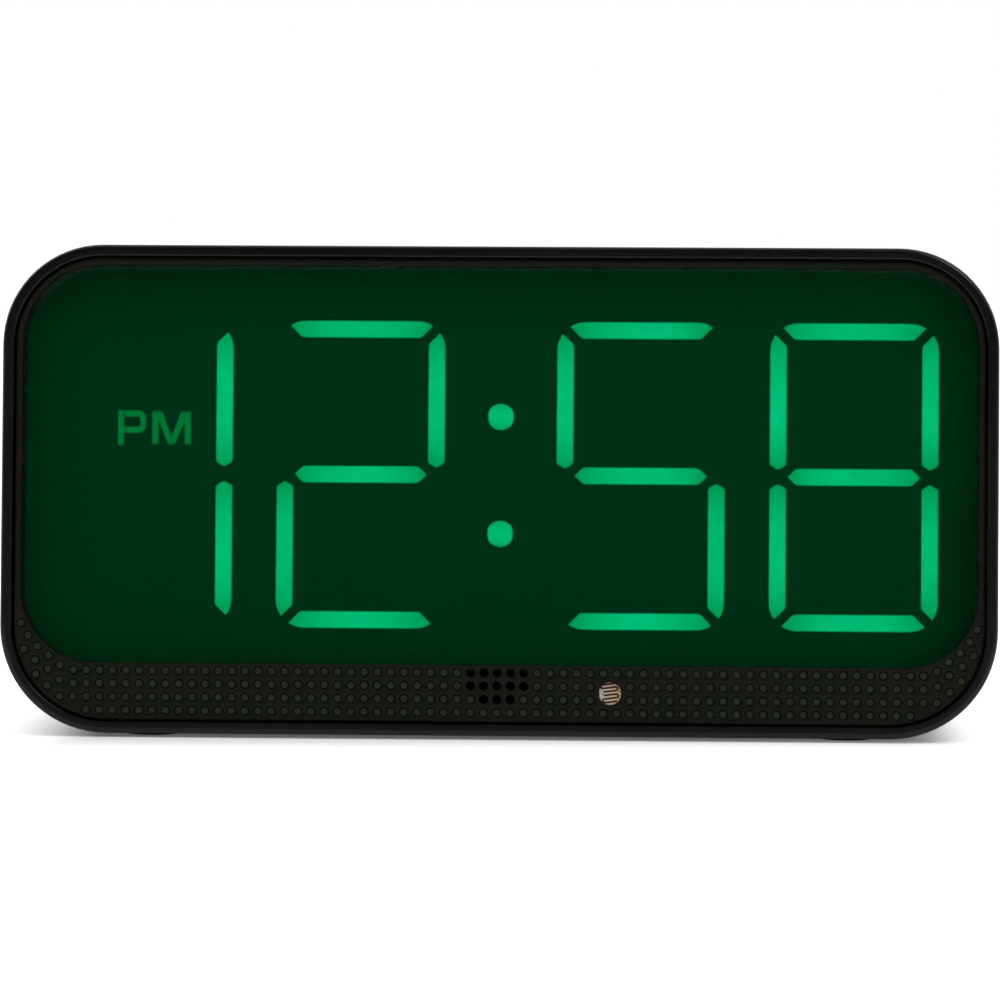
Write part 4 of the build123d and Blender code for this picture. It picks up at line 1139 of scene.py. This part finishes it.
class CLOCK_OT_stage(bpy.types.Operator):
    """Build the white floor, the studio light and the camera"""

    bl_idname = "clock.stage"
    bl_label = "Studio"

    def execute(self, context):
        scene = context.scene
        scene.view_settings.view_transform = "Standard"
        self.add_floor()
        self.add_world(scene)
        self.add_softbox(scene)
        self.add_camera(scene)
        return {"FINISHED"}

    def add_floor(self):
        """A large white table top, with a glow that only the camera sees, painted low in a set patch round
        the clock so that its shadow shows only there.
        """
        mesh = bmesh.new()
        bmesh.ops.create_grid(mesh, x_segments=1, y_segments=1, size=FLOOR_REACH)
        data = bpy.data.meshes.new("table_top")
        mesh.to_mesh(data)
        mesh.free()
        floor = bpy.data.objects.new("table_top", data)
        bpy.context.scene.collection.objects.link(floor)
        # White laminate: plain and matt, so it takes the shadow and mirrors nothing; its camera-only glow is
        # painted by place, low round the clock and high beyond, which paints the shadow's shape.
        material, tree = new_material("White laminate")
        seen = add_node(tree, "ShaderNodeLightPath").outputs["Is Camera Ray"]
        spot = add_node(tree, "ShaderNodeTexCoord").outputs["Object"]
        around = add_node(
            tree,
            "ShaderNodeMapping",
            {
                "Vector": spot,
                "Location": (0.0, SHADE_SHIFT, 0.0),
                "Rotation": (0.0, 0.0, SHADE_TURN),
                "Scale": (1 / SHADE_HALF_WIDTH, 1 / SHADE_HALF_DEPTH, 1.0),
            },
        )
        either_side = add_node(
            tree, "ShaderNodeVectorMath", {0: around.outputs["Vector"]}, operation="ABSOLUTE"
        )
        parts = add_node(tree, "ShaderNodeSeparateXYZ", {"Vector": either_side.outputs["Vector"]})
        away = add_node(
            tree, "ShaderNodeMath", {0: parts.outputs["X"], 1: parts.outputs["Y"]}, operation="MAXIMUM"
        )
        # Painted shadow: the camera-only glow is low inside the patch and high outside it, so the shadow
        # shows only round the clock
        white = add_node(
            tree,
            "ShaderNodeMapRange",
            {
                "Value": away.outputs[0],
                "From Min": SHADE_FADE[0],
                "From Max": SHADE_FADE[1],
                "To Min": FLOOR_GLOW_IN_SHADE,
                "To Max": FLOOR_GLOW,
            },
            interpolation_type="SMOOTHSTEP",
        )
        painted_shadow_glow = add_node(
            tree, "ShaderNodeMath", {0: seen, 1: white.outputs["Result"]}, operation="MULTIPLY"
        )
        shader = add_node(
            tree,
            "ShaderNodeBsdfPrincipled",
            {
                "Base Color": linear("#F4F4F4"),
                "Roughness": 0.9,
                "Specular IOR Level": 0.1,
                "Emission Color": (1, 1, 1, 1),
                "Emission Strength": painted_shadow_glow.outputs[0],
            },
        )
        add_node(tree, "ShaderNodeOutputMaterial", {"Surface": shader.outputs["BSDF"]})
        data.materials.append(material)

    def add_world(self, scene):
        """White surroundings, with a dark studio behind the camera that the glossy window mirrors."""
        world = bpy.data.worlds.new("Studio")
        scene.world = world
        world.use_nodes = True
        tree = world.node_tree
        tree.nodes.clear()
        way = add_node(tree, "ShaderNodeTexCoord").outputs["Generated"]
        parts = add_node(tree, "ShaderNodeSeparateXYZ", {"Vector": way})
        mirrored = add_node(
            tree,
            "ShaderNodeMapRange",
            {
                "Value": parts.outputs["Y"],
                "From Min": MIRRORED_DARK,
                "From Max": MIRRORED_WHITE,
                "To Min": 0.0,
                "To Max": 1.0,
            },
            interpolation_type="SMOOTHSTEP",
        )
        rays = add_node(tree, "ShaderNodeLightPath")
        spread = add_node(
            tree,
            "ShaderNodeMix",
            {"Factor": rays.outputs["Is Diffuse Ray"], 2: mirrored.outputs["Result"], 3: ROOM_LIGHT},
            data_type="FLOAT",
        )
        strength = add_node(
            tree,
            "ShaderNodeMix",
            {"Factor": rays.outputs["Is Camera Ray"], 2: spread.outputs[0], 3: 1.0},
            data_type="FLOAT",
        )
        light = add_node(
            tree, "ShaderNodeBackground", {"Color": (1, 1, 1, 1), "Strength": strength.outputs[0]}
        )
        add_node(tree, "ShaderNodeOutputWorld", {"Surface": light.outputs["Background"]})

    def add_softbox(self, scene):
        """One soft lamp above and to the right."""
        data = bpy.data.lights.new("softbox", "AREA")
        data.shape = "RECTANGLE"
        data.size = SOFTBOX_WIDTH
        data.size_y = SOFTBOX_HEIGHT
        data.energy = SOFTBOX_POWER
        lamp = bpy.data.objects.new("softbox", data)
        lamp.location = SOFTBOX_PLACE
        lamp.rotation_mode = "QUATERNION"
        lamp.rotation_quaternion = (SOFTBOX_AIM - SOFTBOX_PLACE).to_track_quat("-Z", "Y")
        scene.collection.objects.link(lamp)

    def add_camera(self, scene):
        """A long lens a little to the right of the clock and a little above it."""
        stage = scene.clock_stage
        data = bpy.data.cameras.new("camera")
        data.sensor_width = FILM_WIDTH
        data.lens = stage.lens
        camera = bpy.data.objects.new("camera", data)
        scene.collection.objects.link(camera)
        aim = place(AIM_ACROSS, AIM_UP, 0)
        back = Vector(
            (
                sin(stage.azimuth) * cos(stage.elevation),
                -cos(stage.azimuth) * cos(stage.elevation),
                sin(stage.elevation),
            )
        )
        turn = (-back).to_track_quat("-Z", "Y").to_matrix().to_4x4() @ Matrix.Rotation(stage.roll, 4, "Z")
        camera.matrix_world = Matrix.Translation(aim + back * stage.distance) @ turn
        data.clip_start = 0.05
        data.clip_end = 20.0
        scene.camera = camera


STEPS = (
    CLOCK_OT_stage,
    CLOCK_OT_front_panel,
    CLOCK_OT_display,
    CLOCK_OT_sensor,
    CLOCK_OT_case,
    CLOCK_OT_inside,
)


class CLOCK_PT_sidebar(bpy.types.Panel):
    """Lists the clock's steps in the sidebar"""

    bl_idname = "CLOCK_PT_sidebar"
    bl_label = "LED desk clock"
    bl_space_type = "VIEW_3D"
    bl_region_type = "UI"
    bl_category = "Clock"

    def draw(self, context):
        for step in STEPS:
            self.layout.operator(step.bl_idname)
        for group in (context.scene.clock_colours, context.scene.clock_grain, context.scene.clock_stage):
            for name in group.bl_rna.properties.keys():
                if name not in {"rna_type", "name"}:
                    self.layout.prop(group, name)


CLASSES = (ClockColours, ClockGrain, ClockStage, *STEPS, CLOCK_PT_sidebar)


def register():
    for each in CLASSES:
        bpy.utils.register_class(each)
    bpy.types.Scene.clock_colours = PointerProperty(type=ClockColours)
    bpy.types.Scene.clock_grain = PointerProperty(type=ClockGrain)
    bpy.types.Scene.clock_stage = PointerProperty(type=ClockStage)


def unregister():
    del bpy.types.Scene.clock_stage
    del bpy.types.Scene.clock_grain
    del bpy.types.Scene.clock_colours
    for each in reversed(CLASSES):
        bpy.utils.unregister_class(each)


def main():
    register()
    bpy.ops.clock.stage()
    bpy.ops.clock.front_panel()
    bpy.ops.clock.display()
    bpy.ops.clock.sensor()
    bpy.ops.clock.case()
    bpy.ops.clock.inside()


if __name__ == "__main__":
    main()
